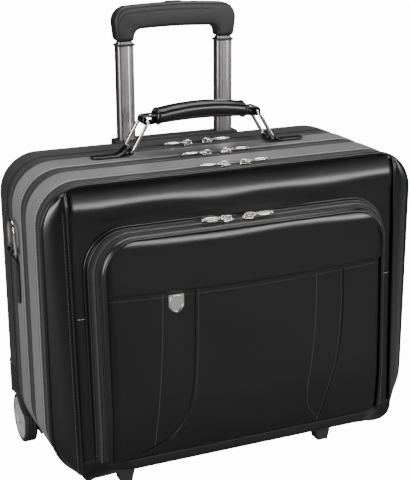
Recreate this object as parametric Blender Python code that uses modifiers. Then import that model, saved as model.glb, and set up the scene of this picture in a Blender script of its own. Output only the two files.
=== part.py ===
"""Rolling laptop case with a telescopic trolley handle, modelled in metres, +Z up, front towards -Y.

The case is a stack of soft sections behind each other: a front lid with an arched pocket, a front
section, a main laptop section and a rear section that carries the trolley tubes and the wheels.
"""
import math

import bmesh
import bpy
from mathutils import Matrix, Vector

MM = 0.001
GAP = 0.3 * MM              # clearance between pieces that touch or are sewn together
CORNER_SEGMENTS = 7

# Case envelope, measured over the leather bands
CASE_WIDTH = 430 * MM
CASE_TOP = 354 * MM
CASE_BOTTOM = 27 * MM
TOP_RADIUS = 46 * MM
BOTTOM_RADIUS = 62 * MM

# Depth of each layer, front to back
POCKET_DEPTH = 24 * MM
PANEL_RAKE = 14 * MM        # the front panel stands this much further out at the pocket's foot
PANEL_STAND = 8 * MM        # the front panel's distance ahead of the piping at the top
LID_DEPTH = 13 * MM
SECTION_DEPTH = 57 * MM
MAIN_DEPTH = 55 * MM
REAR_DEPTH = 61 * MM

# Walls and skins
LEATHER = 1.8 * MM
TAPE = 0.8 * MM
SHELL_INSET = LEATHER + GAP
WALL = 3.0 * MM
LID_WALL = 2.6 * MM
ORGANISER_SETBACK = 1.2 * MM
ORGANISER_THICKNESS = 2.0 * MM
REAR_TAPER = 6 * MM         # how far the rear section draws in by its rear wall
REAR_SHOULDER = 5 * MM      # depth of the rounded edge in front of the rear wall
TAPE_WIDTH = 10.6 * MM      # one half of a zip, from its teeth to its sewn edge

# Front panel and pocket
PANEL_SIDE_MARGIN = 25 * MM  # the panel's edge in from the leather bands
PANEL_TOP_MARGIN = 8 * MM
PANEL_FOOT_MARGIN = 11 * MM
PANEL_RADIUS = 14 * MM
POCKET_SIDE_MARGIN = 15 * MM  # the pocket's edge in from the panel's
POCKET_TOP_MARGIN = 38 * MM
POCKET_FOOT_MARGIN = 22 * MM
POCKET_RADIUS = 44 * MM
POCKET_FOOT_RADIUS = 12 * MM
POCKET_FACE_INSET = 14 * MM
POCKET_FACE_DROP = 8 * MM
POCKET_WALL = 2.4 * MM

# Wheels and feet
WHEEL_RADIUS = 30 * MM
WHEEL_WIDTH = 15 * MM
WHEEL_INSET = 7 * MM        # the wheel's outer face in from the side of the case
TYRE_THICKNESS = 7 * MM
WHEEL_CLEARANCE = 3.5 * MM
WHEEL_SETBACK = 1.4 * MM    # from the rear zip's tape to the wheel and its housing
AXLE_RADIUS = 3.0 * MM
AXLE_RUNNING = 0.08 * MM
AXLE_SUNK = 8 * MM          # depth of the axle's end in its housing
AXLE_SHORT = 1 * MM         # from the axle's end to the wheel's outer face
HOUSING_WIDTH = 44 * MM
HOUSING_INSET = 3 * MM
HOUSING_PROUD = 2 * MM      # the housing stands this far behind the rear wall
HOUSING_EDGE = 5 * MM
HOUSING_LOW = 16 * MM
HOUSING_HIGH = 106 * MM
BOARD_THICKNESS = 4.7 * MM
BOARD_SIDE_MARGIN = 18 * MM  # from the board's end to the wheel housing
BOARD_REAR_MARGIN = 1 * MM
BOARD_EDGE = 1 * MM
FOOT_X = 125 * MM
FOOT_SETBACK = 14 * MM      # the foot's centre behind the lid's zip
FOOT_EDGE = 1.2 * MM
FOOT_TOP_WIDTH = 24 * MM
FOOT_BASE_WIDTH = 14 * MM
FOOT_DEPTH = 16 * MM

# Trolley: the outer tubes are fixed, the middle tubes slide in them, the inner tubes carry the grip
TUBE_X = 61.5 * MM
TUBE_WIDTH = 21 * MM        # middle tube
TUBE_DEPTH = 15 * MM
TUBE_RADIUS = 5 * MM
TUBE_WALL = 1.1 * MM
OUTER_WALL = 1.4 * MM
TUBE_REAR_INSET = 14 * MM   # tube axis to the rear wall's outer face
OUTER_TUBE_LOW = 46 * MM
BEZEL_PROUD = 3 * MM
BEZEL_HEIGHT = 11 * MM
BEZEL_SIDE = 4 * MM
BEZEL_EDGE = 0.8 * MM
MIDDLE_SHOWN = 110 * MM     # how far the middle tubes stand above the case as it is drawn
MIDDLE_LENGTH = 309 * MM
COLLAR_HEIGHT = 2.6 * MM
COLLAR_LIP = 1.5 * MM
INNER_SETBACK = 8 * MM      # the inner tube's foot above the middle tube's
LOCK_HOLE_RADIUS = 2.0 * MM
LOCK_HOLE_PITCH = 9.5 * MM
LOCK_HOLES = 3
LOCK_HOLE_DROP = 9 * MM     # the first lock hole below the middle tube's top
GRIP_STAND = 5.5 * MM       # the grip's legs above the middle tube's top
GRIP_LEG = 13.5 * MM
GRIP_HEIGHT = 39.5 * MM
GRIP_CORNER = 18 * MM
GRIP_FILLET = 9 * MM
GRIP_EDGE = 4 * MM
GRIP_CROWN = 2 * MM
GRIP_DEPTH = 20 * MM
GRIP_FLARE = 3 * MM
BUTTON_LENGTH = 20 * MM
BUTTON_DEPTH = 9 * MM
BUTTON_HEIGHT = 6 * MM
BUTTON_PROUD = 1.2 * MM
BUTTON_TRAVEL = 3 * MM
BUTTON_EDGE = 0.9 * MM

# Carry handle: two bar loops lean inward from leather chapes on the main band
LOOP_FOOT_X = 86 * MM
LOOP_LEAN = math.radians(31)
LOOP_LENGTH = 38 * MM
LOOP_WIDTH = 27 * MM
LOOP_CORNER = 5 * MM
LOOP_STAND = 7 * MM         # the loop's lower pivot above the case
BAR_RADIUS = 2.1 * MM
CHAPE_WIDTH = 16 * MM
CHAPE_STRAP = 2.6 * MM
CHAPE_BLOCK = 9 * MM        # half the width of the block that holds the loop's pivot
CHAPE_CAP = 5 * MM          # leather above the pivot
CHAPE_LENGTH = 52 * MM
PIVOT_CLEARANCE = 0.5 * MM
OPEN_PIVOT_CLEARANCE = 1.0 * MM
PAD_HALF_LENGTH = 54 * MM
PAD_WIDTH = 27 * MM
PAD_HEIGHT = 19 * MM
PAD_RISE = 6 * MM           # the pad's crown above its ends
TAIL_WIDTH = 18 * MM
TAIL_HEIGHT = 10 * MM

# Strap rings on the two sides
RING_DROP = 92 * MM         # the strap ring's pivot below the top of the case
RING_STAND = 6 * MM
RING_INNER_WIDTH = 20 * MM
RING_HEIGHT = 34 * MM
RING_BAR = 2.0 * MM
RING_CHAPE_WIDTH = 14 * MM
RING_CHAPE_DROP = 62 * MM
RING_CHAPE_STRAP = 2.2 * MM
RING_EYE = 2 * MM           # leather round the ring's bar

# Zip sliders
SLIDER_LENGTH = 12 * MM
SLIDER_WIDTH = 8.4 * MM
SLIDER_BASE = 2.2 * MM
BRIDGE_LENGTH = 8.4 * MM
BRIDGE_WIDTH = 2.4 * MM
BRIDGE_HEIGHT = 4.0 * MM
BRIDGE_BAR = 1.2 * MM
PULL_LENGTH = 30 * MM
PULL_WIDTH = 9.5 * MM
PULL_THICKNESS = 1.5 * MM
PULL_BAR = 1.8 * MM
PULL_EYE_LENGTH = 6 * MM
PULL_EYE_WIDTH = 5.2 * MM
SLIDER_GAP = 23 * MM        # from one slider to the other of the same zip
LID_SLIDERS_X = 3.5 * MM    # middle of each zip's pair of sliders
SECTION_SLIDERS_X = 7.5 * MM
REAR_SLIDERS_X = 8 * MM
POCKET_SLIDERS_X = -10 * MM
POCKET_SLIDER_LIFT = 0.1 * MM

PLATE_WIDTH = 17 * MM
PLATE_HEIGHT = 20 * MM
PLATE_THICKNESS = 1.4 * MM
PLATE_X = -86 * MM
PLATE_DROP = 80 * MM        # the plate's centre below the pocket's top
PLATE_EDGE = 0.3 * MM

# Stations that follow from the sizes above
WHEEL_PROUD = TAPE_WIDTH + WHEEL_SETBACK + 2 * WHEEL_RADIUS - REAR_DEPTH
HOUSING_LENGTH = REAR_DEPTH - TAPE_WIDTH - WHEEL_SETBACK + HOUSING_PROUD
DEPTH = (POCKET_DEPTH + PANEL_RAKE + PANEL_STAND + LID_DEPTH + SECTION_DEPTH + MAIN_DEPTH
         + REAR_DEPTH + WHEEL_PROUD)
Y_FRONT = -DEPTH / 2
Y_PIPING = Y_FRONT + POCKET_DEPTH + PANEL_RAKE + PANEL_STAND
Y_LID = Y_PIPING + LID_DEPTH                 # plane where the lid parts from the front section
Y_SECTION = Y_LID + SECTION_DEPTH            # plane where the front section parts from the main one
Y_MAIN = Y_SECTION + MAIN_DEPTH              # plane of the rear zip
Y_REAR = Y_MAIN + REAR_DEPTH
HALF_GAP = GAP / 2
CASE_HALF = CASE_WIDTH / 2
PANEL_HALF_WIDTH = CASE_HALF - PANEL_SIDE_MARGIN
PANEL_LOW = CASE_BOTTOM + PANEL_FOOT_MARGIN
PANEL_HIGH = CASE_TOP - PANEL_TOP_MARGIN
POCKET_HALF_WIDTH = PANEL_HALF_WIDTH - POCKET_SIDE_MARGIN
POCKET_LOW = PANEL_LOW + POCKET_FOOT_MARGIN
POCKET_HIGH = PANEL_HIGH - POCKET_TOP_MARGIN
PLATE_Z = POCKET_HIGH - PLATE_DROP
WHEEL_OUTER_X = CASE_HALF - WHEEL_INSET
HOUSING_OUTER_X = CASE_HALF - HOUSING_INSET
HOUSING_INNER_X = HOUSING_OUTER_X - HOUSING_WIDTH
BOARD_HALF_WIDTH = HOUSING_INNER_X - BOARD_SIDE_MARGIN
BEZEL_TOP = CASE_TOP + BEZEL_PROUD
MIDDLE_HIGH = CASE_TOP + MIDDLE_SHOWN
MIDDLE_LOW = MIDDLE_HIGH - MIDDLE_LENGTH
INNER_LOW = MIDDLE_LOW + INNER_SETBACK
GRIP_LOW = MIDDLE_HIGH + GRIP_STAND
GRIP_UNDERSIDE = GRIP_LOW + GRIP_LEG
GRIP_TOP = GRIP_LOW + GRIP_HEIGHT
RING_Z = CASE_TOP - RING_DROP
WHEEL_Y = Y_REAR + WHEEL_PROUD - WHEEL_RADIUS
TUBE_Y = Y_REAR - TUBE_REAR_INSET
BAND_Y = Y_MAIN - (MAIN_DEPTH - TAPE_WIDTH) / 2 - TAPE_WIDTH / 2
BAND_LOW = Y_SECTION + TAPE_WIDTH + 2 * GAP  # front and rear edges of the main leather band
BAND_HIGH = Y_MAIN - TAPE_WIDTH - 2 * GAP
TAPE_TOP = CASE_TOP - LEATHER + TAPE
LOOP_FOOT_Z = CASE_TOP + LOOP_STAND
LOOP_TOP_X = LOOP_FOOT_X - LOOP_LENGTH * math.sin(LOOP_LEAN)
LOOP_TOP_Z = LOOP_FOOT_Z + LOOP_LENGTH * math.cos(LOOP_LEAN)
RING_X = CASE_HALF + RING_STAND

BLACK_LEATHER = ("black_leather", (0.018, 0.018, 0.019), 0.36, 0.0)
BAND_LEATHER = ("band_leather", (0.03, 0.03, 0.031), 0.42, 0.0)
NYLON = ("lining_nylon", (0.022, 0.022, 0.024), 0.8, 0.0)
ZIP_TAPE = ("zip_tape", (0.015, 0.015, 0.015), 0.75, 0.0)
NICKEL = ("nickel", (0.72, 0.7, 0.68), 0.22, 1.0)
TUBE_STEEL = ("tube_steel", (0.42, 0.39, 0.4), 0.25, 1.0)
BLACK_PLASTIC = ("black_plastic", (0.03, 0.03, 0.032), 0.5, 0.0)
RUBBER = ("rubber", (0.04, 0.04, 0.042), 0.7, 0.0)
HUB_PLASTIC = ("hub_plastic", (0.42, 0.42, 0.43), 0.5, 0.0)


def clear_scene():
    for item in list(bpy.data.objects):
        bpy.data.objects.remove(item, do_unlink=True)


def new_collection(name):
    collection = bpy.data.collections.new(name)
    bpy.context.scene.collection.children.link(collection)
    return collection


clear_scene()
PARTS = new_collection("rolling_laptop_case")
CUTTERS = new_collection("cutters")


def material(finish):
    name, colour, roughness, metallic = finish
    found = bpy.data.materials.get(name)
    if found:
        return found
    made = bpy.data.materials.new(name)
    made.use_nodes = True
    shader = made.node_tree.nodes["Principled BSDF"]
    shader.inputs["Base Color"].default_value = (*colour, 1)
    shader.inputs["Roughness"].default_value = roughness
    shader.inputs["Metallic"].default_value = metallic
    return made


def joint_empty(name, location):
    empty = bpy.data.objects.new(name, None)
    empty.location = location
    empty.empty_display_size = 0.02
    PARTS.objects.link(empty)
    return empty


def attach(piece, empty):
    """Parent a piece to the empty on its joint's axis, where it stands."""
    piece.parent = empty
    piece.matrix_parent_inverse = Matrix.Translation(empty.location).inverted()
    return piece


def add_part(name, bm, finish, location=(0, 0, 0), rotation=(0, 0, 0), smooth=False):
    mesh = bpy.data.meshes.new(name)
    bm.to_mesh(mesh)
    bm.free()
    mesh.materials.append(material(finish))
    if smooth:
        mesh.shade_smooth()
        mesh.set_sharp_from_angle(angle=math.radians(35))
    part = bpy.data.objects.new(name, mesh)
    part.location = location
    part.rotation_euler = rotation
    PARTS.objects.link(part)
    return part


def make_cutter(name, bm, location=(0, 0, 0), rotation=(0, 0, 0)):
    mesh = bpy.data.meshes.new(name)
    bm.to_mesh(mesh)
    bm.free()
    cutter = bpy.data.objects.new(name, mesh)
    cutter.location = location
    cutter.rotation_euler = rotation
    cutter.hide_render = True
    cutter.display_type = "WIRE"
    CUTTERS.objects.link(cutter)
    return cutter


def boolean(piece, cutter, operation="DIFFERENCE"):
    step = piece.modifiers.new(cutter.name, "BOOLEAN")
    step.object = cutter
    step.operation = operation
    step.solver = "EXACT"
    return piece


def bevel(piece, width, segments=2, angle=40):
    step = piece.modifiers.new("edges", "BEVEL")
    step.width = width
    step.segments = segments
    step.limit_method = "ANGLE"
    step.angle_limit = math.radians(angle)
    return piece


def solidify(piece, thickness):
    """Thicken an open surface inward from its outer face."""
    step = piece.modifiers.new("wall", "SOLIDIFY")
    step.thickness = thickness
    step.offset = -1
    step.use_even_offset = True
    return piece


def box_mesh(size_x, size_y, size_z):
    bm = bmesh.new()
    bmesh.ops.create_cube(bm, size=1)
    bmesh.ops.scale(bm, vec=(size_x, size_y, size_z), verts=bm.verts)
    return bm


def cylinder_mesh(radius, length, segments=24):
    bm = bmesh.new()
    bmesh.ops.create_cone(bm, cap_ends=True, segments=segments, radius1=radius, radius2=radius,
                          depth=length)
    return bm


def box_part(name, low, high, finish, edge=0.0):
    size = [b - a for a, b in zip(low, high)]
    centre = [(a + b) / 2 for a, b in zip(low, high)]
    part = add_part(name, box_mesh(*size), finish, centre)
    if edge:
        bevel(part, edge)
    return part


def box_cutter(name, low, high):
    size = [b - a for a, b in zip(low, high)]
    centre = [(a + b) / 2 for a, b in zip(low, high)]
    return make_cutter(name, box_mesh(*size), centre)


def rounded_outline(low_u, high_u, low_v, high_v, low_radius, high_radius, segments=CORNER_SEGMENTS):
    """Rounded rectangle, counter-clockwise in its own u, v plane."""
    corners = ((high_u, low_v, low_radius, -90), (high_u, high_v, high_radius, 0),
               (low_u, high_v, high_radius, 90), (low_u, low_v, low_radius, 180))
    points = []
    for u, v, radius, start in corners:
        centre_u = u - math.copysign(radius, u - (low_u + high_u) / 2)
        centre_v = v - math.copysign(radius, v - (low_v + high_v) / 2)
        for step in range(segments + 1):
            angle = math.radians(start + 90 * step / segments)
            points.append((centre_u + radius * math.cos(angle), centre_v + radius * math.sin(angle)))
    return points


def case_outline(inset, half_width=CASE_HALF, low=CASE_BOTTOM, high=CASE_TOP, high_radius=TOP_RADIUS):
    return rounded_outline(inset - half_width, half_width - inset, low + inset, high - inset,
                           BOTTOM_RADIUS - inset, high_radius - inset)


def case_loop(y, inset, **sizes):
    return [Vector((x, y, z)) for x, z in case_outline(inset, **sizes)]


def loft(loops, cap_first=False, cap_last=False):
    """Skin between loops of equal length; each next loop lies along u x v of the one before."""
    bm = bmesh.new()
    rings = [[bm.verts.new(point) for point in loop] for loop in loops]
    for ring, following in zip(rings, rings[1:]):
        for index in range(len(ring)):
            after = (index + 1) % len(ring)
            bm.faces.new((ring[index], ring[after], following[after], following[index]))
    if cap_first:
        bm.faces.new(reversed(rings[0]))
    if cap_last:
        bm.faces.new(rings[-1])
    return bm


def sleeve(name, inset, y_front, y_back, thickness, finish):
    """A band that runs all round the case, its outer face this far in from the leather's."""
    part = add_part(name, loft([case_loop(y_back, inset), case_loop(y_front, inset)]), finish, smooth=True)
    return solidify(part, thickness)


def tray(name, y_front, y_back, finish):
    """A section's stiffened shell: a wall all round and a rear wall, open to the front."""
    loops = [case_loop(y_back, SHELL_INSET), case_loop(y_front, SHELL_INSET)]
    return solidify(add_part(name, loft(loops, cap_first=True), finish, smooth=True), WALL)


def extruded_outline(points, low_y, high_y):
    """A flat outline in x and z, counter-clockwise, carried from high_y forward to low_y."""
    loops = [[Vector((x, y, z)) for x, z in points] for y in (high_y, low_y)]
    return loft(loops, cap_first=True, cap_last=True)


def panel_y(z):
    """The front panel's outer face: it leans out towards the bottom."""
    return Y_PIPING - PANEL_STAND - PANEL_RAKE * (CASE_TOP - z) / (CASE_TOP - POCKET_LOW)


def panel_loop(outline, proud):
    return [Vector((x, panel_y(z) - proud, z)) for x, z in outline]


def both_sides():
    return (("left", -1), ("right", 1))


# --- Sections of the case -------------------------------------------------------------------

def make_lid(hinge):
    panel = rounded_outline(-PANEL_HALF_WIDTH, PANEL_HALF_WIDTH, PANEL_LOW, PANEL_HIGH, PANEL_RADIUS,
                            PANEL_RADIUS)
    loops = [case_loop(Y_LID - HALF_GAP, SHELL_INSET), case_loop(Y_PIPING, SHELL_INSET),
             panel_loop(panel, 0)]
    shell = add_part("lid_panel", loft(loops, cap_last=True), BLACK_LEATHER, smooth=True)
    attach(solidify(shell, LID_WALL), hinge)
    tape_front = Y_LID - HALF_GAP - TAPE_WIDTH
    attach(sleeve("lid_zip_tape", LEATHER - TAPE, tape_front, Y_LID - HALF_GAP, TAPE, ZIP_TAPE), hinge)
    board_inset = SHELL_INSET + LID_WALL + GAP
    board_back = Y_LID - ORGANISER_SETBACK
    board = [case_loop(board_back, board_inset), case_loop(board_back - ORGANISER_THICKNESS, board_inset)]
    attach(add_part("lid_organiser", loft(board, cap_first=True, cap_last=True), NYLON), hinge)


def pocket_outline(share):
    """The pocket's edge at its foot on the panel, share 0, to its front face, share 1."""
    side = POCKET_HALF_WIDTH - POCKET_FACE_INSET * share
    return rounded_outline(-side, side, POCKET_LOW, POCKET_HIGH - POCKET_FACE_DROP * share,
                           POCKET_FOOT_RADIUS, POCKET_RADIUS - POCKET_FACE_INSET * share / 2)


def pocket_proud(share):
    """How far the pocket's side stands ahead of the panel at this share of its slope."""
    return POCKET_WALL + (POCKET_DEPTH - POCKET_WALL) * share


def pocket_normal_tilt():
    return math.atan2(POCKET_FACE_DROP, POCKET_DEPTH - POCKET_WALL)


def make_pocket(hinge):
    loops = [panel_loop(pocket_outline(0), GAP), panel_loop(pocket_outline(0), POCKET_WALL),
             panel_loop(pocket_outline(1), POCKET_DEPTH)]
    pocket = add_part("pocket_shell", loft(loops, cap_last=True), BLACK_LEATHER, smooth=True)
    attach(solidify(pocket, POCKET_WALL), hinge)
    edges = []
    for share in (0.24, 0.76):
        outline = pocket_outline(share)
        proud = pocket_proud(share)
        lift = GAP + TAPE
        raised = [(x + math.copysign(lift, x), z + lift * (z > POCKET_HIGH - POCKET_RADIUS))
                  for x, z in outline]
        arch = [point for point in panel_loop(raised, proud) if point.z > POCKET_LOW + 2 * POCKET_FOOT_RADIUS]
        foot = POCKET_LOW + 2 * POCKET_FOOT_RADIUS
        ends = [Vector((point.x, panel_y(foot) - proud, foot)) for point in (arch[0], arch[-1])]
        edges.append([ends[0]] + arch + [ends[1]])
    bm = bmesh.new()
    rear, front = [[bm.verts.new(point) for point in edge] for edge in edges]
    for index in range(len(rear) - 1):
        bm.faces.new((rear[index], rear[index + 1], front[index + 1], front[index]))
    tape = add_part("pocket_zip_tape", bm, ZIP_TAPE, smooth=True)
    attach(solidify(tape, TAPE), hinge)
    plate_back = panel_y(PLATE_Z) - POCKET_DEPTH - GAP
    half = PLATE_WIDTH / 2
    shield = ((-half, PLATE_HEIGHT / 2), (-half, -PLATE_HEIGHT * 0.15), (-half * 0.55, -PLATE_HEIGHT * 0.4),
              (0, -PLATE_HEIGHT / 2), (half * 0.55, -PLATE_HEIGHT * 0.4), (half, -PLATE_HEIGHT * 0.15),
              (half, PLATE_HEIGHT / 2))
    rake = math.atan2(PANEL_RAKE, CASE_TOP - POCKET_LOW)
    plate = add_part("shield_plate", extruded_outline(shield, -PLATE_THICKNESS, 0), NICKEL,
                     (PLATE_X, plate_back, PLATE_Z), (-rake, 0, 0))
    attach(bevel(plate, PLATE_EDGE, 1), hinge)


def make_front_section(hinge):
    attach(tray("section_shell", Y_LID + HALF_GAP, Y_SECTION - HALF_GAP, NYLON), hinge)
    front_tape_end = Y_LID + HALF_GAP + TAPE_WIDTH
    rear_tape_start = Y_SECTION - HALF_GAP - TAPE_WIDTH
    inset = LEATHER - TAPE
    attach(sleeve("section_front_tape", inset, Y_LID + HALF_GAP, front_tape_end, TAPE, ZIP_TAPE), hinge)
    attach(sleeve("section_band", 0, front_tape_end + GAP, rear_tape_start - GAP, LEATHER, BAND_LEATHER),
           hinge)
    attach(sleeve("section_rear_tape", inset, rear_tape_start, Y_SECTION - HALF_GAP, TAPE, ZIP_TAPE), hinge)


def make_main_section():
    tray("main_shell", Y_SECTION + HALF_GAP, Y_MAIN - HALF_GAP, NYLON)
    inset = LEATHER - TAPE
    sleeve("main_front_tape", inset, Y_SECTION + HALF_GAP, BAND_LOW - GAP, TAPE, ZIP_TAPE)
    sleeve("main_band", 0, BAND_LOW, BAND_HIGH, LEATHER, BAND_LEATHER)
    sleeve("rear_zip_tape", inset, BAND_HIGH + GAP, Y_MAIN + TAPE_WIDTH, TAPE, ZIP_TAPE)


def make_rear_section():
    shoulder = Y_MAIN + TAPE_WIDTH + GAP
    back_half = CASE_HALF - REAR_TAPER
    loops = [case_loop(Y_REAR, 0, half_width=back_half, high=CASE_TOP - REAR_TAPER),
             case_loop(Y_REAR - REAR_SHOULDER, 0, half_width=back_half + REAR_TAPER / 2,
                       high=CASE_TOP - REAR_TAPER / 3),
             case_loop(shoulder, 0), case_loop(shoulder, SHELL_INSET),
             case_loop(Y_MAIN + HALF_GAP, SHELL_INSET)]
    shell = add_part("rear_shell", loft(loops, cap_first=True), NYLON, smooth=True)
    solidify(shell, WALL)
    slot_x, slot_y = bezel_half_sizes()
    boolean(shell, box_cutter("bezel_slot", (-slot_x - GAP, TUBE_Y - slot_y - GAP, CASE_TOP - 4 * WALL),
                              (slot_x + GAP, TUBE_Y + slot_y + GAP, CASE_TOP + WALL)))
    for side, sign in both_sides():
        near, far = sorted((sign * (HOUSING_INNER_X - GAP), sign * (CASE_HALF + WALL)))
        boolean(shell, box_cutter("housing_notch_" + side,
                                  (near, housing_front() - GAP, CASE_BOTTOM - WALL),
                                  (far, Y_REAR + WALL, HOUSING_HIGH + GAP)))


# --- Base, feet and wheels ------------------------------------------------------------------

def housing_front():
    return Y_REAR + HOUSING_PROUD - HOUSING_LENGTH


def make_base():
    board_top = CASE_BOTTOM - GAP
    board_low = board_top - BOARD_THICKNESS
    box_part("base_board", (-BOARD_HALF_WIDTH, Y_LID + 2 * GAP, board_low),
             (BOARD_HALF_WIDTH, Y_REAR - BOARD_REAR_MARGIN, board_top), BLACK_PLASTIC,
             BOARD_EDGE)
    foot_y = Y_LID + FOOT_SETBACK
    top = board_low - GAP
    for side, sign in both_sides():
        outline = ((-FOOT_BASE_WIDTH / 2, 0), (FOOT_BASE_WIDTH / 2, 0), (FOOT_TOP_WIDTH / 2, top),
                   (-FOOT_TOP_WIDTH / 2, top))
        foot = add_part("foot_" + side, extruded_outline(outline, -FOOT_DEPTH / 2, FOOT_DEPTH / 2), RUBBER,
                        (sign * FOOT_X, foot_y, 0))
        bevel(foot, FOOT_EDGE)


def turned(name, profile, steps, finish, location, sign):
    """A profile of (radius, height) turned about the axle; height 0 is the wheel's outer face."""
    bm = bmesh.new()
    verts = [bm.verts.new((radius, 0, height)) for radius, height in profile]
    for index, vert in enumerate(verts):
        following = verts[(index + 1) % len(verts)]
        bm.edges.new((vert, following))
    part = add_part(name, bm, finish, location, (0, sign * math.pi / 2, 0))
    screw = part.modifiers.new("turn", "SCREW")
    screw.axis = "Z"
    screw.steps = steps
    screw.render_steps = steps
    screw.use_merge_vertices = True
    screw.merge_threshold = 0.00001
    screw.use_smooth_shade = True
    return part


def make_wheels():
    rim = WHEEL_RADIUS - TYRE_THICKNESS
    bore = AXLE_RADIUS + AXLE_RUNNING + AXLE_RADIUS * (1 - math.cos(math.pi / 32))
    shoulder = 2 * MM
    tyre = ((WHEEL_RADIUS - shoulder, 0), (WHEEL_RADIUS, -shoulder), (WHEEL_RADIUS, shoulder - WHEEL_WIDTH),
            (WHEEL_RADIUS - shoulder, -WHEEL_WIDTH), (rim, -WHEEL_WIDTH), (rim, 0))
    face = 0.6 * MM
    boss = AXLE_RADIUS + 4 * MM
    web = 4.5 * MM
    hub = ((boss, -face), (boss + 1 * MM, -web), (rim - 4 * MM, -web), (rim - 3 * MM, -face),
           (rim - GAP, -face), (rim - GAP, face - WHEEL_WIDTH), (bore, face - WHEEL_WIDTH), (bore, -face))
    for side, sign in both_sides():
        centre = (sign * WHEEL_OUTER_X, WHEEL_Y, WHEEL_RADIUS)
        spin = joint_empty("wheel_spin_" + side, centre)
        attach(turned("tyre_" + side, tyre, 48, RUBBER, centre, sign), spin)
        attach(turned("hub_" + side, hub, 32, HUB_PLASTIC, centre, sign), spin)
        inner_face = WHEEL_OUTER_X - WHEEL_WIDTH - WHEEL_CLEARANCE
        axle_end = HOUSING_INNER_X + AXLE_SUNK
        length = WHEEL_OUTER_X - AXLE_SHORT - axle_end
        add_part("axle_" + side, cylinder_mesh(AXLE_RADIUS, length, 32), NICKEL,
                 (sign * (axle_end + length / 2), WHEEL_Y, WHEEL_RADIUS), (0, math.pi / 2, 0), smooth=True)
        near, far = sorted((sign * HOUSING_INNER_X, sign * HOUSING_OUTER_X))
        housing = box_part("wheel_housing_" + side, (near, housing_front(), HOUSING_LOW),
                           (far, housing_front() + HOUSING_LENGTH, HOUSING_HIGH), BLACK_PLASTIC,
                           HOUSING_EDGE)
        well_length = 2 * (HOUSING_OUTER_X + HOUSING_INSET - inner_face)
        well = make_cutter("wheel_well_" + side,
                           cylinder_mesh(WHEEL_RADIUS + WHEEL_CLEARANCE, well_length, 48),
                           (sign * (inner_face + well_length / 2), WHEEL_Y, WHEEL_RADIUS),
                           (0, math.pi / 2, 0))
        boolean(housing, well)
        bore_length = 2 * (inner_face - axle_end) + 2 * GAP
        hole = make_cutter("axle_hole_" + side, cylinder_mesh(AXLE_RADIUS + GAP, bore_length, 24),
                           (sign * inner_face, WHEEL_Y, WHEEL_RADIUS), (0, math.pi / 2, 0))
        boolean(housing, hole)


# --- Trolley --------------------------------------------------------------------------------

def bezel_half_sizes():
    """Half width and half depth of the bezel that the tubes pass through."""
    side = TUBE_X + TUBE_WIDTH / 2 + OUTER_WALL + BEZEL_SIDE
    return side, TUBE_DEPTH / 2 + GAP + OUTER_WALL + 0.2 * MM


def tube_loop(width, depth, radius, z):
    outline = rounded_outline(-width / 2, width / 2, -depth / 2, depth / 2, radius, radius, 4)
    return [Vector((x, y, z)) for x, y in outline]


def tube(name, width, depth, radius, wall, low, high, x):
    """An open rectangular tube with rounded corners."""
    loops = [tube_loop(width, depth, radius, z - low) for z in (low, high)]
    part = add_part(name, loft(loops), TUBE_STEEL, (x, TUBE_Y, low), smooth=True)
    return solidify(part, wall)


def tube_cutter(name, width, depth, radius, low, high, x):
    loops = [tube_loop(width, depth, radius, z - low) for z in (low, high)]
    return make_cutter(name, loft(loops, cap_first=True, cap_last=True), (x, TUBE_Y, low))


def grip_outline():
    """The trolley grip's front outline, counter-clockwise: two legs joined by a crowned bar."""
    outer = TUBE_X + TUBE_WIDTH / 2
    inner = TUBE_X - TUBE_WIDTH / 2
    points = [(inner, GRIP_LOW), (outer, GRIP_LOW)]
    corner = GRIP_CORNER
    centre_x = outer + GRIP_FLARE - corner
    for step in range(7):
        angle = math.radians(15 * step)
        points.append((centre_x + corner * math.cos(angle), GRIP_TOP - corner + corner * math.sin(angle)))
    points.append((0, GRIP_TOP + GRIP_CROWN))
    right = points[:]
    fillet = GRIP_FILLET
    arch = []
    for step in range(5):
        angle = math.radians(22.5 * step)
        arch.append((inner - fillet + fillet * math.cos(angle), GRIP_UNDERSIDE - fillet
                     + fillet * math.sin(angle)))
    left = [(-x, z) for x, z in reversed(right[:-1])]
    left_arch = [(-x, z) for x, z in arch]
    return right + left + left_arch + list(reversed(arch))


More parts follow.
